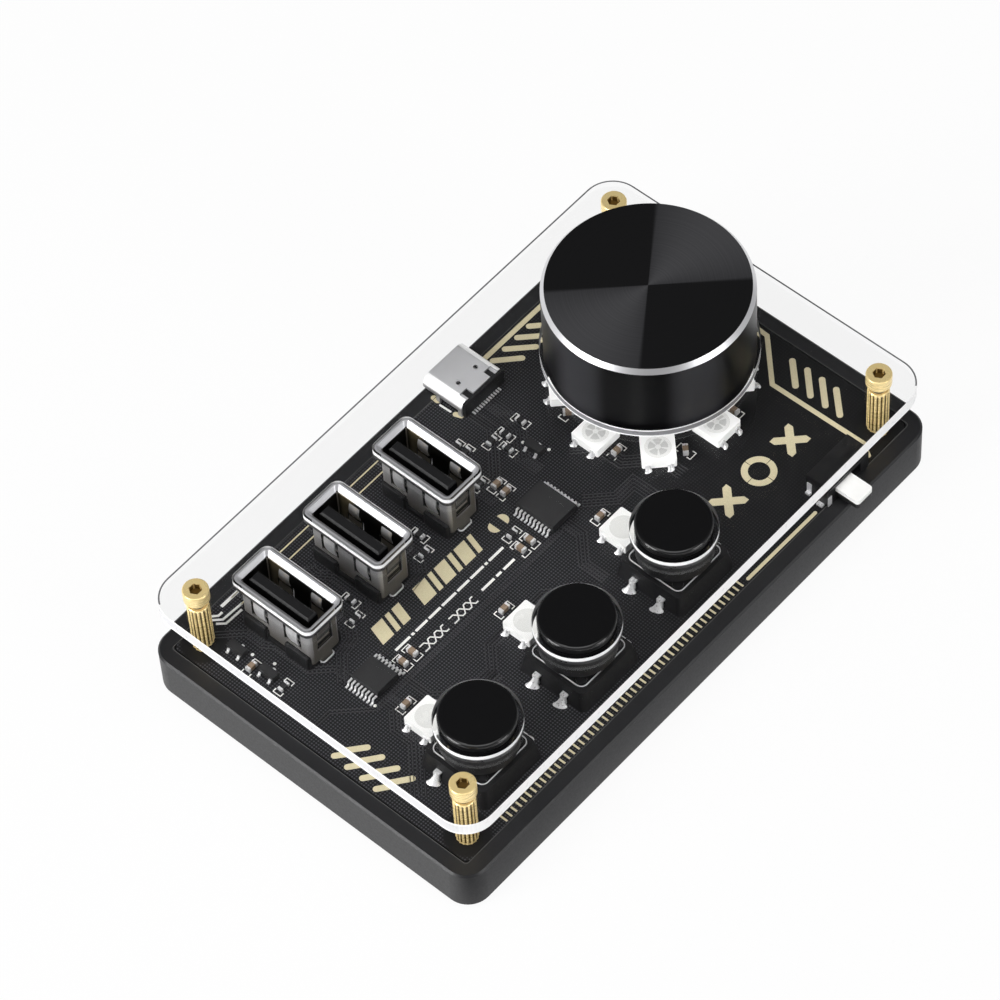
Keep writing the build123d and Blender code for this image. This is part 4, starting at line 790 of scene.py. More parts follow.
def pill(first: Point, last: Point, width: float) -> Path:
    """Outline of a bar with round ends between two centre points."""
    heading = math.degrees(math.atan2(last[1] - first[1], last[0] - first[0]))
    return (arc(first, width / 2, heading + 90, heading + 270)
            + arc(last, width / 2, heading - 90, heading + 90))


def beside(points: Path, off: float) -> Path:
    """Moves a line sideways and keeps its corners sharp.

    Args:
        points: the line.
        off: how far it moves to its left.

    Returns:
        The moved line.
    """
    moved = []
    for index, here in enumerate(points):
        at, before = Vector(here), Vector(points[max(index - 1, 0)])
        after = Vector(points[min(index + 1, len(points) - 1)])
        along = [step.normalized() for step in (at - before, after - at) if step.length > 0]
        mean = sum(along, Vector((0, 0))).normalized()
        moved.append(tuple(at + Vector((-mean.y, mean.x)) * (off / mean.dot(along[0]))))
    return moved


def stroke(points: Path, width: float) -> Path:
    """Outline of a bent line with mitred corners and round ends.

    Args:
        points: its centre line.
        width: its width.

    Returns:
        The closed outline.
    """
    tail = math.degrees(math.atan2(points[-1][1] - points[-2][1], points[-1][0] - points[-2][0]))
    head = math.degrees(math.atan2(points[1][1] - points[0][1], points[1][0] - points[0][0]))
    return (beside(points, width / 2)[1:-1] + arc(points[-1], width / 2, tail + 90, tail - 90)
            + beside(points, -width / 2)[1:-1][::-1] + arc(points[0], width / 2, head - 90, head - 270))


# ---------------------------------------------------------------- making pieces


def dress(frame: dict, finish: Finish, *nodes: str) -> list[str]:
    """Gives the finish to CAD nodes as they are.

    Args:
        frame: the loaded frame.
        finish: what they are made of.
        nodes: their names.

    Returns:
        The names.
    """
    for name in nodes:
        mesh = frame["nodes"][name].data
        mesh.materials.clear()
        mesh.materials.append(finish.material())
    return list(nodes)


def settle(mesh: bpy.types.Mesh, name: str, finish: Finish, slot: Slot, body: str = BASE) -> str:
    """Makes a finished mesh a piece of the object.

    Args:
        mesh: closed mesh in metres, already in its place.
        name: the piece's name.
        finish: its material.
        slot: not used.
        body: the CAD body that it rides on.

    Returns:
        The piece's name.
    """
    mesh.materials.clear()
    mesh.materials.append(finish.material())
    piece = bpy.data.objects.new(name, mesh)
    bpy.context.scene.collection.objects.link(piece)
    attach(piece, body)
    return name


def inlay(outlines: list[Path], low: float, high: float) -> bpy.types.Mesh:
    """Raises flat closed solids from outlines.

    Args:
        outlines: closed outlines, each without its first point repeated.
        low: height of the underside.
        high: height of the top.

    Returns:
        One mesh that holds them all.
    """
    model = bmesh.new()
    for outline in outlines:
        rings = [[model.verts.new((x * MM, y * MM, z * MM)) for x, y in outline] for z in (low, high)]
        model.faces.new(rings[0][::-1])
        model.faces.new(rings[1])
        for index in range(len(outline)):
            after = (index + 1) % len(outline)
            model.faces.new((rings[0][index], rings[0][after], rings[1][after], rings[1][index]))
    bmesh.ops.remove_doubles(model, verts=model.verts, dist=1e-7)
    bmesh.ops.recalc_face_normals(model, faces=model.faces)
    mesh = bpy.data.meshes.new("inlay")
    model.to_mesh(mesh)
    model.free()
    return mesh


def loose_boxes(node: bpy.types.Object) -> list[tuple[Vector, Vector]]:
    """Finds the separate solids of a CAD node.

    Args:
        node: its object, which is left alone.

    Returns:
        Lowest and highest corner of each solid, in millimetres.
    """
    model = bmesh.new()
    model.from_mesh(node.data)
    bmesh.ops.remove_doubles(model, verts=model.verts, dist=1e-6)
    left = set(model.verts)
    boxes = []
    while left:
        reach = [left.pop()]
        found = []
        while reach:
            vert = reach.pop()
            found.append(vert.co / MM)
            near = [edge.other_vert(vert) for edge in vert.link_edges]
            reach += [other for other in near if other in left]
            left.difference_update(near)
        boxes.append((Vector(map(min, *found)), Vector(map(max, *found))))
    model.free()
    return boxes


class Grower(Nodes):
    """A Geometry Nodes tree with named sizes, and the mesh that it grows from a start mesh."""

    def __init__(self, name: str, **sizes: float) -> None:
        """Starts the tree.

        Args:
            name: its name.
            sizes: its inputs and their values: millimetres, or a count where the value is an int.
        """
        super().__init__(bpy.data.node_groups.new(name, "GeometryNodeTree"))
        self.tree.is_modifier = True
        face = self.tree.interface
        face.new_socket("Geometry", in_out="INPUT", socket_type="NodeSocketGeometry")
        self.finish = face.new_socket("Finish", in_out="INPUT", socket_type="NodeSocketMaterial").identifier
        self.sizes = {}
        for size, value in sizes.items():
            kind = "NodeSocketInt" if isinstance(value, int) else "NodeSocketFloat"
            socket = face.new_socket(size, in_out="INPUT", socket_type=kind)
            self.sizes[socket.identifier] = value if isinstance(value, int) else value * MM
        face.new_socket("Geometry", in_out="OUTPUT", socket_type="NodeSocketGeometry")
        self.given = self.tree.nodes.new("NodeGroupInput").outputs

    def grow(self, last: bpy.types.Node, start: bpy.types.Mesh, finish: Finish) -> bpy.types.Mesh:
        """Closes the tree and runs it once.

        Args:
            last: node whose geometry is the result.
            start: mesh that the tree works from.
            finish: material of what it makes.

        Returns:
            The plain mesh.
        """
        real = self.add("GeometryNodeRealizeInstances", last)
        named = self.add("GeometryNodeSetMaterial", {"Geometry": real, "Material": self.given["Finish"]})
        self.add("NodeGroupOutput", {0: named})
        holder = bpy.data.objects.new(self.tree.name, start)
        bpy.context.scene.collection.objects.link(holder)
        modifier = holder.modifiers.new("grow", "NODES")
        modifier.node_group = self.tree
        for identifier, value in {self.finish: finish.material(), **self.sizes}.items():
            modifier[identifier] = value
        ready = holder.evaluated_get(bpy.context.evaluated_depsgraph_get())
        mesh = bpy.data.meshes.new_from_object(ready)
        holder.modifiers.remove(modifier)
        bpy.data.objects.remove(holder)
        return mesh

    def plant(self, shape: bpy.types.Node, places: list[Place], height: float,
              finish: Finish) -> bpy.types.Mesh:
        """Sets a copy of a shape at each place and runs the tree.

        Args:
            shape: node that makes it, round the origin.
            places: x, y, heading in radians and size of each.
            height: of them all.
            finish: their material.

        Returns:
            All of them in one mesh.
        """
        start = bpy.data.meshes.new(self.tree.name)
        start.from_pydata([(place[0] * MM, place[1] * MM, height * MM) for place in places], [], [])
        marks = []
        for name, number in (("turn", 2), ("size", 3)):
            values = [place[number] for place in places]
            start.attributes.new(name, "FLOAT", "POINT").data.foreach_set("value", values)
            mark = self.add("GeometryNodeInputNamedAttribute", {"Name": name}, data_type="FLOAT")
            marks.append(mark.outputs["Attribute"])
        copies = self.add("GeometryNodeInstanceOnPoints", {
            "Points": self.given["Geometry"], "Instance": shape,
            "Rotation": self.add("CombineXYZ", {2: marks[0]}), "Scale": marks[1]})
        return self.grow(copies, start, finish)


def path_mesh(paths: list[Path], height: float) -> bpy.types.Mesh:
    """Lays edges along lines.

    Args:
        paths: open lines, or closed ones whose last point repeats the first.
        height: where they lie.

    Returns:
        A mesh of edges only.
    """
    mesh = bpy.data.meshes.new("paths")
    verts: list[tuple[float, float, float]] = []
    edges: list[tuple[int, int]] = []
    for path in paths:
        closed = path[0] == path[-1]
        points = path[:-1] if closed else path
        start = len(verts)
        verts += [(x * MM, y * MM, height * MM) for x, y in points]
        edges += [(start + index, start + index + 1) for index in range(len(points) - 1)]
        if closed:
            edges.append((len(verts) - 1, start))
    mesh.from_pydata(verts, edges, [])
    return mesh


def swept(name: str, paths: list[Path], height: float, width: float, thick: float, finish: Finish,
          slot: Slot) -> str:
    """Sweeps a flat bar along paths, as a track or a printed line lies on a board.

    Args:
        name: the piece's name.
        paths: centre lines.
        height: of the bar's middle.
        width: of the bar.
        thick: of the bar.
        finish: its material.
        slot: not used; it is only handed on to settle().

    Returns:
        The piece's name.
    """
    tree = Grower(name, Width=width, Thickness=thick)
    curve = tree.add("GeometryNodeMeshToCurve", tree.given["Geometry"])
    level = tree.add("GeometryNodeSetCurveNormal", {"Curve": curve}, mode="Z_UP")
    bar = tree.add("GeometryNodeCurvePrimitiveQuadrilateral",
                   {"Width": tree.given["Width"], "Height": tree.given["Thickness"]})
    body = tree.add("GeometryNodeCurveToMesh", {"Curve": level, "Profile Curve": bar, "Fill Caps": True})
    return settle(tree.grow(body, path_mesh(paths, height), finish), name, finish, slot)


# ---------------------------------------------------------------- the studio


@dataclass(frozen=True)
class Lamp:
    """A square lamp that faces the object: its middle, its side, and its power in watts."""

    name: str
    place: tuple[float, float, float]
    size: float
    power: float

    def hang(self) -> None:
        """Hangs it."""
        data = bpy.data.lights.new(self.name, "AREA")
        data.size = self.size * MM
        data.energy = self.power
        lamp = bpy.data.objects.new(self.name, data)
        lamp.location = Vector(self.place) * MM
        lamp.rotation_mode = "QUATERNION"
        lamp.rotation_quaternion = Vector(self.place).to_track_quat("Z", "Y")
        bpy.context.scene.collection.objects.link(lamp)


@dataclass
class Studio:
    """Camera, pale floor, three soft lamps and a plain pale room with a dark ceiling behind."""

    eye: tuple[float, float, float] = (-287.930, -276.974, 576.781)
    right: tuple[float, float, float] = (0.65940565, -0.7505724, -0.04272308)
    up: tuple[float, float, float] = (0.62849791, 0.51919235, 0.57916291)
    lens: float = 177.748
    lamps: tuple[Lamp, ...] = (Lamp("key", (-760.0, 240.0, 400.0), 420.0, 6.2),
                               Lamp("fill", (120.0, -780.0, 330.0), 320.0, 1.9),
                               Lamp("top", (-150.0, -120.0, 850.0), 700.0, 3.4))
    floor_height: float = -0.85
    floor_half: float = 20000.0
    floor_glow: float = 0.93
    # Painted shade the floor shows only in mirror images: grey in front of the object, dark before its near
    # corner.
    mirror_shade_x: float = -51.0
    mirror_shade_y: float = -31.0
    mirror_shade_blur: float = 4.0
    front_mirror_shade: str = "#aeaeb0"
    corner_mirror_shade: str = "#343436"
    horizon: float = 0.8
    dome: float = 0.16
    dome_heights: Point = (0.05, 0.4)
    ceiling: float = 0.03
    ceiling_way: tuple[float, float, float] = (0.4125, 0.4088, 0.814)
    ceiling_span: Point = (0.7, 0.93)

    def set_up(self) -> None:
        """Builds the whole studio."""
        scene = bpy.context.scene
        scene.view_settings.view_transform = "Standard"
        self.place_camera(scene)
        self.lay_floor()
        self.light_room(scene)
        for lamp in self.lamps:
            lamp.hang()

    def place_camera(self, scene: bpy.types.Scene) -> None:
        """Sets the camera by its eye point and its right and up directions.

        Args:
            scene: the scene that looks through it.
        """
        data = bpy.data.cameras.new("camera")
        data.lens = self.lens
        data.sensor_width = 36.0
        data.clip_start = 0.01
        data.clip_end = 60.0
        camera = bpy.data.objects.new("camera", data)
        scene.collection.objects.link(camera)
        right, up = Vector(self.right), Vector(self.up)
        turn = Matrix((right, up, right.cross(up))).transposed().to_4x4()
        camera.matrix_world = Matrix.Translation(Vector(self.eye) * MM) @ turn
        scene.camera = camera

    def lay_floor(self) -> None:
        """Lays a white floor that keeps the object's faint shadow; in mirror images it carries painted shade
        in front.
        """
        material = bpy.data.materials.new("white_floor")
        material.use_nodes = True
        nodes = Nodes(material.node_tree)
        nodes.tree.nodes.clear()
        add = nodes.add
        ways = add("LightPath").outputs
        seen, glossy, through = (ways[f"Is {name} Ray"] for name in ("Camera", "Glossy", "Transmission"))
        mirrored = add("Math GREATER_THAN", add("Math SUBTRACT", glossy, through), 0.5)
        for way in (glossy, through):
            seen = add("Math MAXIMUM", seen, way)
        x, y, _ = add("SeparateXYZ", add("NewGeometry").outputs["Position"]).outputs
        # Painted shade in mirror images: darker in front of the object, darkest before its near corner.
        beyond = [add("MapRange", axis, (edge + self.mirror_shade_blur) * MM, (edge - self.mirror_shade_blur) * MM,
                      interpolation_type="SMOOTHSTEP") for axis, edge in ((x, self.mirror_shade_x), (y, self.mirror_shade_y))]
        front = add("Mix RGBA", beyond[1], "#ffffff", self.front_mirror_shade)
        mirror_shade = add("Mix RGBA", add("Math MULTIPLY", *beyond), front, self.corner_mirror_shade)
        white = add("Emission", add("Mix RGBA", mirrored, "#ffffff", mirror_shade), 1.0)
        both = add("MixShader", add("Math MULTIPLY", seen, self.floor_glow),
                   add("BsdfDiffuse", {"Color": "#f2f2f2"}), white)
        below = add("NewGeometry").outputs["Backfacing"]
        add("OutputMaterial", {0: add("MixShader", below, both, add("BsdfTransparent"))})
        mesh = bpy.data.meshes.new("floor")
        half, low = self.floor_half * MM, self.floor_height * MM
        mesh.from_pydata([(x, y, low) for x, y in box(-half, -half, half, half)], [], [(0, 1, 2, 3)])
        mesh.materials.append(material)
        floor = bpy.data.objects.new("floor", mesh)
        bpy.context.scene.collection.objects.link(floor)

    def light_room(self, scene: bpy.types.Scene) -> None:
        """Makes the room white at eye level, grey above, and dark where the clear plate would mirror it.

        Args:
            scene: the scene that stands in it.
        """
        world = bpy.data.worlds.new("room")
        world.use_nodes = True
        scene.world = world
        nodes = Nodes(world.node_tree)
        nodes.tree.nodes.clear()
        add = nodes.add
        way = add("TexCoord").outputs["Generated"]
        height = add("SeparateXYZ", way).outputs[2]
        room = add("MapRange", height, *self.dome_heights, self.horizon, self.dome)
        facing = add("VectorMath DOT_PRODUCT", way, self.ceiling_way)
        flag = add("MapRange", facing, *self.ceiling_span, 1.0, self.ceiling / self.dome,
                   interpolation_type="SMOOTHSTEP")
        light = add("Background", {"Color": "#ffffff", "Strength": add("Math MULTIPLY", room, flag)})
        add("OutputWorld", {0: light})


# ---------------------------------------------------------------- the keypad


@dataclass
class Tray:
    """Moulded tray and its rubber feet."""

    def build(self, frame: dict) -> list[str]:
        """Dresses both."""
        return dress(frame, TRAY_ABS, "tray") + dress(frame, RUBBER, "rubber_feet")


@dataclass
class Board:
    """Circuit board with gold artwork, printed legend, tracks under the mask, and a ruler on its edge."""

    ink: float = 0.03
    sunk: float = 0.02
    pill_width: float = 0.95
    track_pitch: float = 0.5
    corner_width: float = 0.38
    double_width: float = 0.22
    crossed_width: float = 0.22
    bracket_width: float = 0.18
    track_width: float = 0.16
    cut_width: float = 0.1
    dot_radius: float = 0.26
    edge_x: float = 47.62
    edge_y: float = 27.42
    edge_corner: float = 0.5
    ruler_start: float = -38.9
    ruler_pitch: float = 1.0
    ruler_count: int = 51
    ruler_edge: float = -27.1
    ruler_line: float = 0.3
    ruler_short: float = 1.1
    ruler_long: float = 1.55
    ruler_every: int = 5
    cross_reach: float = 2.95
    cross_width: float = 1.25
    cross_spots: tuple[Point, ...] = ((20.4, -16.6), (34.2, -16.6))
    ring_spot: Point = (27.2, -16.65)
    ring_outer: float = 2.6
    ring_inner: float = 1.6
    ring_gap_deg: float = 3.0
    bracket_half: float = 0.68
    bracket_reach: float = 1.42
    bracket_arm: float = 0.62
    trim_starts: Point = (-25.9, -19.8)
    trim_half: float = 0.58
    trim_y: float = -0.1
    trim_pitch: float = 1.35
    trim_slope: float = 0.4
    trim_flat: float = 0.9

    def build(self, frame: dict) -> list[str]:
        """Dresses the board and lays everything printed or plated on it.

        Args:
            frame: the loaded frame.

        Returns:
            Names of the pieces.
        """
        low, high = BOARD_TOP - self.sunk, BOARD_TOP + self.ink
        cut_edge = round_box((0.0, 0.0), (self.edge_x - self.edge_corner, self.edge_y - self.edge_corner),
                             self.edge_corner)
        return dress(frame, MASK, "circuit_board") + [
            settle(inlay(self.gold_shapes(), low, high), "gold_artwork", PAD_GOLD, Slot.GOLD),
            settle(self.ruler(), "gold_ruler", PAD_GOLD, Slot.GOLD),
            self.lay("corner_lines", self.corner_lines(), self.corner_width, LEGEND, Slot.WHITE),
            self.lay("double_lines", [[(-36.5, y), (-2.6, y)] for y in (26.3, 24.5)], self.double_width,
                     PAD_GOLD, Slot.GOLD),
            self.lay("crossed_lines", self.zigzags(), self.crossed_width, LEGEND, Slot.WHITE),
            self.lay("part_brackets", self.brackets(frame), self.bracket_width, LEGEND, Slot.WHITE),
            self.lay("masked_tracks", self.tracks(), self.track_width, MASKED_COPPER, Slot.MASK),
            settle(inlay(self.legend_shapes(), low, high), "legend_bars", LEGEND, Slot.WHITE),
            self.lay("board_cut_edge", [cut_edge], self.cut_width, CUT_LAMINATE, Slot.MASK)]

    def lay(self, name: str, paths: list[Path], width: float, finish: Finish, slot: Slot) -> str:
        """Lays lines of that width on the board's face as one piece."""
        thick = self.ink + self.sunk
        return swept(name, paths, BOARD_TOP + self.ink - thick / 2, width, thick, finish, slot)

    def gold_shapes(self) -> list[Path]:
        """Draws the bare gold artwork.

        Returns:
            Its outlines.
        """
        left = [((-46.2, -2.0), (-42.7, -5.0)), ((-46.4, -4.6), (-42.6, -7.6)),
                ((-46.4, -7.4), (-42.6, -10.4)), ((-46.5, -10.0), (-42.5, -13.1))]
        right = [((45.3, -7.9), (42.1, -11.1)), ((45.4, -10.6), (42.1, -13.85)),
                 ((45.4, -13.3), (42.1, -16.6)), ((45.3, -16.0), (42.1, -19.25))]
        back = [((17.9, 25.4), (20.95, 22.5)), ((20.6, 25.45), (23.75, 22.3)),
                ((23.3, 25.45), (26.4, 22.35)), ((25.95, 25.5), (29.0, 22.45))]
        shapes = [pill(*ends, self.pill_width) for ends in left + right + back]
        shapes += [stroke([(46.6, -0.6), (46.5, -2.2), (40.2, -8.35), (40.4, -25.2), (39.7, -26.4)], 0.75),
                   stroke([(17.1, 26.6), (31.0, 26.6)], 0.8), stroke([(12.5, -26.8), (27.2, -26.9)], 0.55),
                   pill((7.45, 26.8), (7.5, 27.6), 0.85), pill((7.3, 23.2), (7.6, 22.4), 0.85)]
        shapes += [self.cross(spot) for spot in self.cross_spots]
        for start in (0, 90, 180, 270):
            first, last = start + self.ring_gap_deg / 2, start + 90 - self.ring_gap_deg / 2
            shapes.append(arc(self.ring_spot, self.ring_outer, first, last, 10)
                          + arc(self.ring_spot, self.ring_inner, last, first, 10))
        shapes += [arc((-2.35, 5.85), 1.0, -90, 90, 10), arc((-3.9, 5.85), 1.0, 90, 270, 10)]
        return shapes + self.word_bars()

    def cross(self, spot: Point) -> Path:
        """Draws a diagonal cross with pointed arms.

        Args:
            spot: its middle.

        Returns:
            Its outline.
        """
        half, reach = self.cross_width / 2, self.cross_reach
        arm = [(half, half), (reach - half, half), (reach, 0.0), (reach - half, -half)]
        return sum((turned(arm, math.radians(45 - 90 * quarter), spot) for quarter in range(4)), [])[::-1]

    def word_bars(self) -> list[Path]:
        """Draws a plain row of slanted gold bars, in two groups.

        Returns:
            Their outlines.
        """
        low, high, lean, gap = 4.6, 7.75, 0.9, 0.55
        shapes = []
        for left, widths in ((-28.8, (2.3, 0.85, 1.5)), (-20.2, (2.6, 0.85, 2.2, 0.85, 2.2, 0.85))):
            for width in widths:
                right = left + width
                shapes.append([(left, low), (right, low), (right + lean, high), (left + lean, high)])
                left += width + gap
        return shapes

    def legend_shapes(self) -> list[Path]:
        """Draws plain printed bars, round dots beside chip corners, and short marks.

        Returns:
            Their outlines.
        """
        shapes = []
        left, low, high, gap = -28.4, 2.45, 2.85, 0.35
        for width in (3.0, 0.5, 2.4, 2.4, 2.9, 2.4, 2.7, 0.5, 3.0):
            shapes.append(box(left, low, left + width, high))
            left += width + gap
        shapes.append(box(-38.5, 26.1, -34.6, 26.6))
        shapes += [box(left, -0.1, left + width, 0.3)
                   for left, width in ((-13.2, 2.6), (-10.1, 1.0), (-8.6, 2.3))]
        shapes.append(stroke([(7.1, 26.0), (7.18, 24.1)], 0.32))
        dots = ((11.1, 8.8), (9.7, 12.5), (5.8, 5.45), (-41.6, 17.5), (-40.75, 14.1), (-37.0, -1.3))
        return shapes + [arc(spot, self.dot_radius, 0, 330, 11) for spot in dots]

    def corner_lines(self) -> list[Path]:
        """Three bent lines beside the corner pillar."""
        return [[(-40.7, 26.4), (-39.85, 25.6), (-39.1, 25.6)],
                [(-41.1, 25.9), (-39.95, 24.7), (-36.2, 24.5)],
                [(-41.1, 24.95), (-40.15, 23.9), (-37.0, 23.8)]]

    def zigzags(self) -> list[Path]:
        """Draws two pairs of crossing zigzag lines, a common trim.

        Returns:
            Their centre lines.
        """
        paths = []
        for start, sign in product(self.trim_starts, (1, -1)):
            path = []
            for index in range(4):
                at = start + index * self.trim_pitch
                y = sign * (-1) ** index * self.trim_half + self.trim_y
                path += [(at + (self.trim_slope if index else 0.0), y), (at + self.trim_flat, y)]
            paths.append(path)
        return paths

    def brackets(self, frame: dict) -> list[Path]:
        """Draws square brackets round the two ends of every small part.

        Args:
            frame: the loaded frame.

        Returns:
            Their lines.
        """
        paths = []
        inner, reach, half = self.bracket_reach - self.bracket_arm, self.bracket_reach, self.bracket_half
        for low, high in loose_boxes(frame["nodes"]["capacitors"]) + loose_boxes(frame["nodes"]["resistors"]):
            middle, size = (low + high) / 2, high - low
            turn = 0.0 if size.x > size.y else math.pi / 2
            if abs(size.x - size.y) < 0.02 and size.x > 1.0:  # a part that stands askew
                turn = math.atan2(middle.y - KNOB_AXIS[1], middle.x - KNOB_AXIS[0]) + math.pi / 4
                turn = math.pi / 4 * round(turn / (math.pi / 4))
            for side in (1, -1):
                local = [(side * inner, half), (side * reach, half),
                         (side * reach, -half), (side * inner, -half)]
                paths.append(turned(local, turn, middle.xy))
        return paths

    def tracks(self) -> list[Path]:
        """Draws bundles of nested tracks that show as ridges under the mask.

        Returns:
            Their centre lines.
        """
        routes = [([(-30.3, 22.0), (-30.3, 19.0), (-29.4, 17.2), (-29.4, 11.6), (-31.2, 9.3), (-34.0, 8.6),
                    (-37.5, 5.2)], 4),
                  ([(-43.5, 24.0), (-40.0, 20.4), (-40.0, 17.4), (-39.0, 15.8), (-39.0, 9.5), (-36.4, 6.8),
                    (-36.4, 4.6)], 3),
                  ([(-15.9, 22.0), (-15.9, 19.0), (-15.0, 17.2), (-15.0, 11.6), (-16.8, 9.3),
                    (-19.6, 8.9)], 4),
                  ([(-26.2, 22.0), (-26.9, 19.9), (-25.4, 17.5), (-25.4, 12.4), (-27.2, 10.4)], 4),
                  ([(10.9, 21.5), (10.9, 18.4), (10.1, 14.8), (6.4, 11.0), (6.4, 7.4)], 5),
                  ([(8.0, 21.5), (8.0, 17.9), (2.2, 12.2), (-1.4, 12.2), (-1.4, 8.6)], 4),
                  ([(-45.6, 2.6), (-41.9, 2.6), (-37.4, -2.0), (1.6, -2.0), (4.4, 0.6)], 2),
                  ([(-36.2, -1.6), (-36.2, -3.2), (-38.8, -5.8), (-38.8, -9.0), (-44.8, -15.0)], 5),
                  ([(-31.4, -1.6), (-31.4, -6.2), (-26.0, -11.6), (-22.2, -11.6)], 3),
                  ([(6.6, -1.4), (10.4, -5.2), (13.4, -5.2), (13.4, -9.4), (16.6, -12.6)], 5),
                  ([(2.2, -1.4), (2.2, -4.0), (-1.4, -7.6), (-1.4, -12.0)], 4),
                  ([(12.4, 6.0), (15.0, 3.4), (15.0, -1.0), (19.0, -5.0), (19.0, -8.6)], 5),
                  ([(-27.0, -13.0), (-24.6, -10.6), (-22.0, -10.6), (-19.0, -7.6), (-8.6, -7.6),
                    (-6.4, -9.8)], 4)]
        return [beside(route, index * self.track_pitch) for route, count in routes for index in range(count)]

    def ruler(self) -> bpy.types.Mesh:
        """Grows the ruler's ticks: each is a thin bar, and every fifth is longer.

        Returns:
            All of them in one mesh.
        """
        tree = Grower("ruler", Count=self.ruler_count, Pitch=self.ruler_pitch, Line=self.ruler_line,
                      Short=self.ruler_short, Long=self.ruler_long, Every=self.ruler_every,
                      Thickness=self.ink + self.sunk)
        add, given = tree.add, tree.given
        row = add("GeometryNodeMeshLine", {
            "Count": given["Count"], "Offset": add("CombineXYZ", given["Pitch"])})
        size = add("CombineXYZ", given["Line"], given["Short"], given["Thickness"])
        bar = add("GeometryNodeMeshCube", size)
        half = add("Math MULTIPLY", given["Short"], 0.5)
        shifted = add("GeometryNodeTransform", {
            "Geometry": bar.outputs["Mesh"], "Translation": add("CombineXYZ", {1: half})})
        turn = add("Math MODULO", add("GeometryNodeInputIndex"), given["Every"])
        extra = add("Math SUBTRACT", add("Math DIVIDE", given["Long"], given["Short"]), 1.0)
        stretch = add("Math MULTIPLY_ADD", add("Math LESS_THAN", turn, 0.5), extra, 1.0)
        ticks = add("GeometryNodeInstanceOnPoints", {"Points": row, "Instance": shifted.outputs["Geometry"],
                                                     "Scale": add("CombineXYZ", 1.0, stretch, 1.0)})
        mesh = tree.grow(ticks, bpy.data.meshes.new("ruler_start"), PAD_GOLD)
        place = (self.ruler_start, self.ruler_edge, BOARD_TOP + (self.ink - self.sunk) / 2)
        mesh.transform(Matrix.Translation(Vector(place) * MM))
        return mesh


@dataclass
class CoverPlate:
    """Clear plate on four fluted pillars, with its screws."""

    def build(self, frame: dict) -> list[str]:
        """Dresses the plate and its brass."""
        return (dress(frame, ACRYLIC, "cover_plate") + dress(frame, BRASS, "fluted_pillars", "cover_screws")
                + dress(frame, ZINC, "base_screws"))


@dataclass(frozen=True)
class SnapDome:
    """Pressed dome under a button."""

    radius: float
    rise: float
    foot: float
    keep: float
    sheet: float = 0.1
    rings: int = 8
    around: int = 48

    def skin(self, radius: float, rise: float) -> Path:
        """Draws half the outline of a spherical cap.

        Args:
            radius: of its rim.
            rise: of its top over the rim.

        Returns:
            Points from beside the top to the rim, each its distance from the axis and its height.
        """
        ball = (radius ** 2 + rise ** 2) / (2 * rise)
        turns = [math.asin(radius / ball) * step / self.rings for step in range(1, self.rings + 1)]
        return [(ball * math.sin(turn), ball * math.cos(turn) - ball + rise) for turn in turns]

    def build(self, node: str, name: str, spot: Point, joint: str) -> str:
        """Turns the closed shell and stands it for the CAD dome.

        Args:
            node: the CAD dome.
            name: the piece's own name.
            spot: the dome's axis.
            joint: not used.

        Returns:
            The piece's name.
        """
        inner = self.skin(self.radius - self.sheet, self.rise - self.sheet)
        profile = self.skin(self.radius, self.rise) + inner[::-1]
        angles = [math.tau * step / self.around for step in range(self.around)]
        points = [(out * math.cos(angle), out * math.sin(angle), up)
                  for out, up in profile for angle in angles]
        top = len(points)
        points += [(0.0, 0.0, self.rise), (0.0, 0.0, self.rise - self.sheet)]
        faces = []
        for side in range(self.around):
            after = (side + 1) % self.around
            for ring in range(0, top - self.around, self.around):
                below = ring + self.around
                faces.append((ring + side, below + side, below + after, ring + after))
            faces += [(top, side, after), (top + 1, top - self.around + after, top - self.around + side)]
        mesh = bpy.data.meshes.new(name)
        at = Vector((*spot, self.foot))
        mesh.from_pydata([tuple((Vector(point) + at) * MM) for point in points], [], faces)
        settle(mesh, name, SPRING, Slot.SPRING)
        piece = bpy.data.objects[name]
        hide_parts(node)
        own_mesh(piece)
        return name


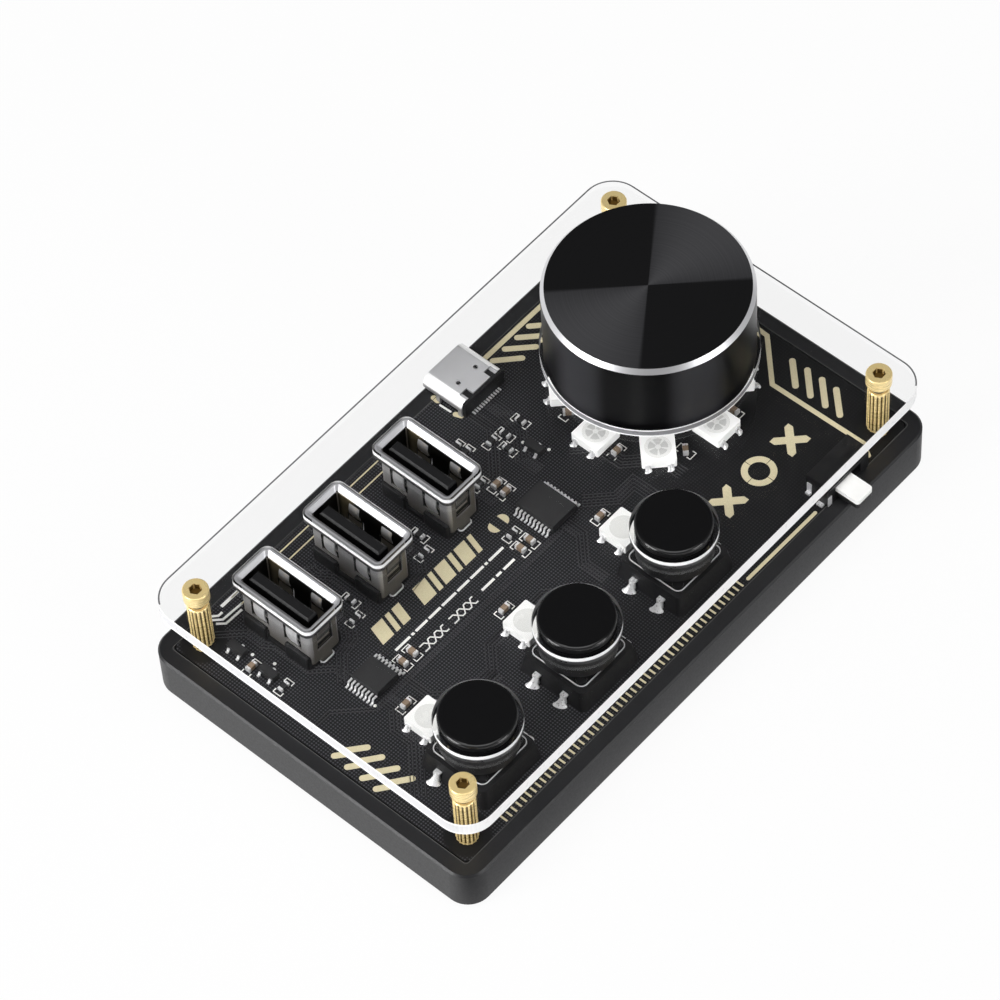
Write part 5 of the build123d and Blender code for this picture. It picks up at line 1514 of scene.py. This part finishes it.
@dataclass
class Keys:
    """Three push keys, each soldered at the sides, and the solder of the lamps, which is of the same kind."""

    dome: SnapDome = SnapDome(3.4, 0.75, 8.3, 0.6)
    lead_out: float = 7.0
    lead_out_far: float = 6.6
    lead_side: float = 2.5
    cone_foot: float = 1.05
    cone_flat: float = 0.5
    pin_out: float = 0.35
    pin_size: float = 0.55
    cone_turn_deg: float = 24.0
    cone_tip: float = 0.26
    cone_height: float = 1.75
    cone_lean: float = 0.5
    cone_waist: float = -1.3
    cone_sides: int = 16
    cone_segments: int = 6
    plate_half: float = 4.85
    plate_corner: float = 1.0
    plate_top: float = 11.2
    plate_line: float = 0.16

    def build(self, frame: dict) -> list[str]:
        """Dresses the switches and adds their solder and the plates' bright edges.

        Args:
            frame: the loaded frame.

        Returns:
            Names of the pieces.
        """
        made = []
        for number, x in enumerate(KEY_XS, 1):
            made += dress(frame, NYLON, f"key_housing_{number}", f"key_stem_{number}")
            made += dress(frame, LACQUER, f"key_plate_{number}") + dress(frame, TIN, f"key_leads_{number}")
            made.append(self.dome.build(f"key_dome_{number}", f"snap_dome_{number}", (x, KEY_Y),
                                        f"key_{number}_press"))
            made += dress(frame, GLOSS_KEY, f"key_cap_{number}")
        made.append(settle(self.solder(self.lamp_pins(frame)), "lead_solder", TIN, Slot.TIN))
        side = self.plate_half - self.plate_corner - self.plate_line / 2
        edges = [round_box((x, KEY_Y), (side, side), self.plate_corner) for x in KEY_XS]
        return made + [swept("key_plate_edges", edges, self.plate_top + self.plate_line / 4, self.plate_line,
                             self.plate_line / 2, CUT_EDGE, Slot.TIN)]

    def lamp_pins(self, frame: dict) -> list[Place]:
        """Finds where each lamp's pins meet the board.

        Args:
            frame: the loaded frame.

        Returns:
            x, y, the heading from the pin to its lamp, and a size, for each pin.
        """
        bodies, pins = ([(low + high) / 2 for low, high in loose_boxes(frame["nodes"][node])]
                        for node in ("led_bodies", "led_leads"))
        found = []
        for pin in pins:
            body = min(bodies, key=lambda spot: (spot - pin).length)
            mate = min((other for other in pins if other is not pin), key=lambda spot: (spot - pin).length)
            inward = (body - (pin + mate) / 2).xy.normalized()
            at = pin.xy - inward * self.pin_out
            found.append((at.x, at.y, math.atan2(inward.y, inward.x), self.pin_size))
        return found

    def solder(self, lamp_places: list[Place]) -> bpy.types.Mesh:
        """Grows a thin flared fan of solder up each lead.

        Args:
            lamp_places: x, y, heading and size of those at the lamps.

        Returns:
            All of them in one mesh.
        """
        ends = ((-self.lead_out, 0.0), (self.lead_out_far, math.pi))
        places = [(x + out, KEY_Y + row * self.lead_side, turn, 1.0)
                  for x, (out, turn), row in product(KEY_XS, ends, (-1, 1))]
        tree = Grower("lead_solder", Foot=self.cone_foot, Tip=self.cone_tip, Height=self.cone_height,
                      Sides=self.cone_sides)
        add, given = tree.add, tree.given
        cone = add("GeometryNodeMeshCone", {
            "Vertices": given["Sides"], "Side Segments": self.cone_segments, "Radius Top": given["Tip"],
            "Radius Bottom": given["Foot"], "Depth": given["Height"]}, fill_type="NGON")
        where = add("GeometryNodeInputPosition")
        up = add("SeparateXYZ", where).outputs[2]
        share = add("Math DIVIDE", up, given["Height"])
        waist = add("Math MULTIPLY", share, add("Math SUBTRACT", 1.0, share))
        shrink = add("Math MULTIPLY_ADD", waist, self.cone_waist, 1.0)
        scale = add("CombineXYZ", add("Math MULTIPLY", shrink, self.cone_flat), shrink, 1.0)
        askew = add("VectorRotate", {"Vector": add("VectorMath MULTIPLY", where, scale),
                                     "Angle": math.radians(self.cone_turn_deg)})
        lean = add("CombineXYZ", add("Math MULTIPLY", up, self.cone_lean))
        drawn = add("GeometryNodeSetPosition", {"Geometry": cone.outputs["Mesh"],
                                                "Position": add("VectorMath ADD", askew, lean)})
        return tree.plant(drawn, places + lamp_places, BOARD_TOP, TIN)


@dataclass
class Knob:
    """Big turned knob on its push-and-turn encoder."""

    dome: SnapDome = SnapDome(2.4, 0.7, 8.45, 0.28)

    def build(self, frame: dict) -> list[str]:
        """Dresses the knob and what it sits on.

        Args:
            frame: the loaded frame.

        Returns:
            Names of the pieces.
        """
        return (dress(frame, KNOB_BLACK, "knob") + dress(frame, OXIDE, "knob_grub_screw")
                + dress(frame, NYLON, "encoder_housing", "encoder_pusher")
                + dress(frame, ZINC, "encoder_bracket", "encoder_shaft")
                + dress(frame, TIN, "encoder_terminals")
                + [self.dome.build("encoder_dome", "snap_dome_knob", KNOB_AXIS, "knob_push")])


@dataclass
class Sockets:
    """Three upright sockets, the small inlet at the back and the slide switch at the front."""

    wall_x: float = 2.86
    finger_side: float = 3.05
    finger_size: Point = (2.05, 4.0)
    finger_middle: float = 12.95
    finger_thick: float = 0.16
    finger_swell: float = 0.32
    finger_bow: float = 4.0
    finger_crown: float = 1.2
    spring_x: float = 2.42
    spring_size: Point = (1.9, 2.7)
    spring_middle: float = 16.0
    foot_x: Point = (2.6, 3.45)
    foot_y: Point = (1.75, 6.2)
    foot_height: float = 2.75
    foot_bevel: float = 0.25
    claws: tuple[tuple[float, ...], ...] = ((28.85, -24.8, 29.0, -24.0), (29.1, -27.75, 29.9, -27.6))
    claw_foot: float = 7.6
    claw_top: float = 9.5
    pads: tuple[tuple[float, ...], ...] = ((28.35, -24.9, 28.9, -24.1), (28.4, -27.1, 29.0, -26.1),
                                           (15.95, 22.1, 16.6, 22.9))
    pad_height: float = 0.35
    leg_y: float = 9.35
    leg_reach: float = 0.75
    leg_radius: float = 0.45
    leg_line: float = 0.2
    leg_middle: float = 0.06
    leg_thick: float = 0.16

    def build(self, frame: dict) -> list[str]:
        """Dresses shells, insulators and contacts, and adds fingers, springs, feet, claws and solder.

        Args:
            frame: the loaded frame.

        Returns:
            Names of the pieces.
        """
        outside, inside = [], []
        for x, y in product(SOCKET_XS, (SOCKET_Y - self.finger_side, SOCKET_Y + self.finger_side)):
            outside += [(x + self.wall_x, y, 0.0, 1.0), (x - self.wall_x, y, math.pi, 1.0)]
            inside.append((x + self.spring_x, y, math.pi, 1.0))
        made = [self.bowed(outside, "socket_fingers", self.finger_size, self.finger_middle),
                self.bowed(inside, "inner_springs", self.spring_size, self.spring_middle),
                settle(self.feet(), "socket_feet", NYLON, Slot.NYLON),
                settle(inlay([box(*claw) for claw in self.claws], self.claw_foot, self.claw_top),
                       "switch_claws", CUT_EDGE, Slot.TIN),
                settle(inlay([box(*pad) for pad in self.pads], BOARD_TOP, BOARD_TOP + self.pad_height),
                       "claw_solder", TIN, Slot.TIN),
                swept("leg_solder", [self.leg_ring(x) for x in SOCKET_XS], BOARD_TOP + self.leg_middle,
                      self.leg_line, self.leg_thick, TIN, Slot.TIN)]
        for number in range(1, len(SOCKET_XS) + 1):
            made += (dress(frame, SOCKET_STEEL, f"usb_a_shell_{number}")
                     + dress(frame, NYLON, f"usb_a_insulator_{number}")
                     + dress(frame, GOLD_FLASH, f"usb_a_contacts_{number}"))
        return (made + dress(frame, INLET_NICKEL, "usb_c_shell") + dress(frame, LACQUER, "slide_switch_frame")
                + dress(frame, NYLON, "usb_c_insulator", "slide_switch_housing")
                + dress(frame, TIN, "usb_c_contacts", "slide_switch_terminals")
                + dress(frame, LEVER_RESIN, "slide_switch_lever"))

    def leg_ring(self, x: float) -> Path:
        """Closed line round the slot of a shell's leg."""
        ring = (arc((x + self.leg_reach, self.leg_y), self.leg_radius, -90, 90, 6)
                + arc((x - self.leg_reach, self.leg_y), self.leg_radius, 90, 270, 6))
        return ring + ring[:1]

    def feet(self) -> bpy.types.Mesh:
        """Makes the insulators' bevelled feet outside the long walls.

        Returns:
            All of them in one mesh.
        """
        model = bmesh.new()
        size = Vector((self.foot_x[1] - self.foot_x[0], self.foot_y[1] - self.foot_y[0],
                       self.foot_height)) * MM
        for x, side_x, side_y in product(SOCKET_XS, (-1, 1), (-1, 1)):
            at = Vector((sum(self.foot_x) / 2 * side_x + x, sum(self.foot_y) / 2 * side_y + SOCKET_Y,
                         BOARD_TOP + self.foot_height / 2)) * MM
            place = Matrix.Translation(at) @ Matrix.Diagonal((*size, 1.0))
            bmesh.ops.create_cube(model, size=1.0, matrix=place)
        rims = [edge for edge in model.edges if all(vert.co.z > (BOARD_TOP + 1) * MM for vert in edge.verts)
                or abs(edge.verts[0].co.z - edge.verts[1].co.z) > MM]
        bmesh.ops.bevel(model, geom=rims, offset=self.foot_bevel * MM, segments=2, affect="EDGES",
                        profile=0.5)
        mesh = bpy.data.meshes.new("socket_feet")
        model.to_mesh(mesh)
        model.free()
        return mesh

    def bowed(self, places: list[Place], name: str, size: Point, middle: float) -> str:
        """Grows bowed strips of sheet.

        Args:
            places: x, y, heading and size of each.
            name: the piece's name.
            size: width and height of a strip.
            middle: height of its middle over the tray's underside.

        Returns:
            The piece's name.
        """
        tree = Grower(name, Width=size[0], Height=size[1], Thickness=self.finger_thick,
                      Swell=self.finger_swell)
        add, given = tree.add, tree.given
        bar = add("GeometryNodeMeshCube", {
            "Size": add("CombineXYZ", given["Thickness"], given["Width"], given["Height"]),
            "Vertices X": 2, "Vertices Y": 7, "Vertices Z": 13})
        _, y, z = add("SeparateXYZ", add("GeometryNodeInputPosition")).outputs
        along, across = add("Math DIVIDE", z, given["Height"]), add("Math DIVIDE", y, given["Width"])
        bow = add("Math MULTIPLY_ADD", add("Math MULTIPLY", along, along), -self.finger_bow, 1.0)
        bow = add("Math MULTIPLY_ADD", add("Math MULTIPLY", across, across), -self.finger_crown, bow)
        out = add("Math SUBTRACT", add("Math MULTIPLY", bow, given["Swell"]), given["Thickness"])
        moved = add("GeometryNodeSetPosition", {
            "Geometry": bar.outputs["Mesh"], "Offset": add("CombineXYZ", out)})
        return settle(tree.plant(moved, places, middle, FINGER_STEEL), name, FINGER_STEEL, Slot.STEEL)


@dataclass
class Lamps:
    """Eleven white lamps: a ring of eight round the knob and one beside each key."""

    ring_from_x: float = 14.0
    lens_top: float = 9.1
    haze: float = 0.02
    inner: float = 0.42
    outer: float = 1.45
    segments: int = 5
    gap_deg: float = 16.0

    def build(self, frame: dict) -> list[str]:
        """Dresses the lamps and shows the frame inside each lens of the ring.

        Args:
            frame: the loaded frame.

        Returns:
            Names of the pieces.
        """
        middles = [(low + high) / 2 for low, high in loose_boxes(frame["nodes"]["led_bodies"])]
        shapes = sum((self.frame_shapes(middle.xy) for middle in middles if middle.x > self.ring_from_x), [])
        return (dress(frame, LAMP_RESIN, "led_bodies") + dress(frame, LAMP_MILK, "led_lenses")
                + dress(frame, TIN, "led_leads")
                + [settle(inlay(shapes, self.lens_top - self.haze, self.lens_top + self.haze), "lamp_frames",
                          LAMP_FRAME, Slot.LENS)])

    def frame_shapes(self, spot: Point) -> list[Path]:
        """Draws the frame's segments in one lens.

        Args:
            spot: the lens's middle.

        Returns:
            Their outlines.
        """
        step = 360 / self.segments
        away = math.degrees(math.atan2(spot[1] - KNOB_AXIS[1], spot[0] - KNOB_AXIS[0]))
        shapes = []
        for index in range(self.segments):
            first = away + index * step + self.gap_deg / 2
            last = first + step - self.gap_deg
            shapes.append(arc(spot, self.outer, first, last, 5) + arc(spot, self.inner, last, first, 3))
        return shapes


@dataclass
class SmallParts:
    """Chips, regulators, capacitors and resistors."""

    def build(self, frame: dict) -> list[str]:
        """Dresses them all.

        Args:
            frame: the loaded frame.

        Returns:
            Names of the pieces.
        """
        return (dress(frame, EPOXY, "chip_bodies", "resistors") + dress(frame, CERAMIC, "capacitors")
                + dress(frame, TIN, "chip_leads", "component_ends"))


def main() -> None:
    """Builds the studio and every assembly, and logs the name of each piece."""
    logging.basicConfig(level=logging.INFO, format="%(name)s: %(message)s")
    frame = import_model()
    Studio().set_up()
    for assembly in (Tray(), Board(), CoverPlate(), Keys(), Knob(), Sockets(), Lamps(), SmallParts()):
        for piece in assembly.build(frame):
            LOG.info("%s: %s", type(assembly).__name__, piece)


if __name__ == "__main__":
    main()
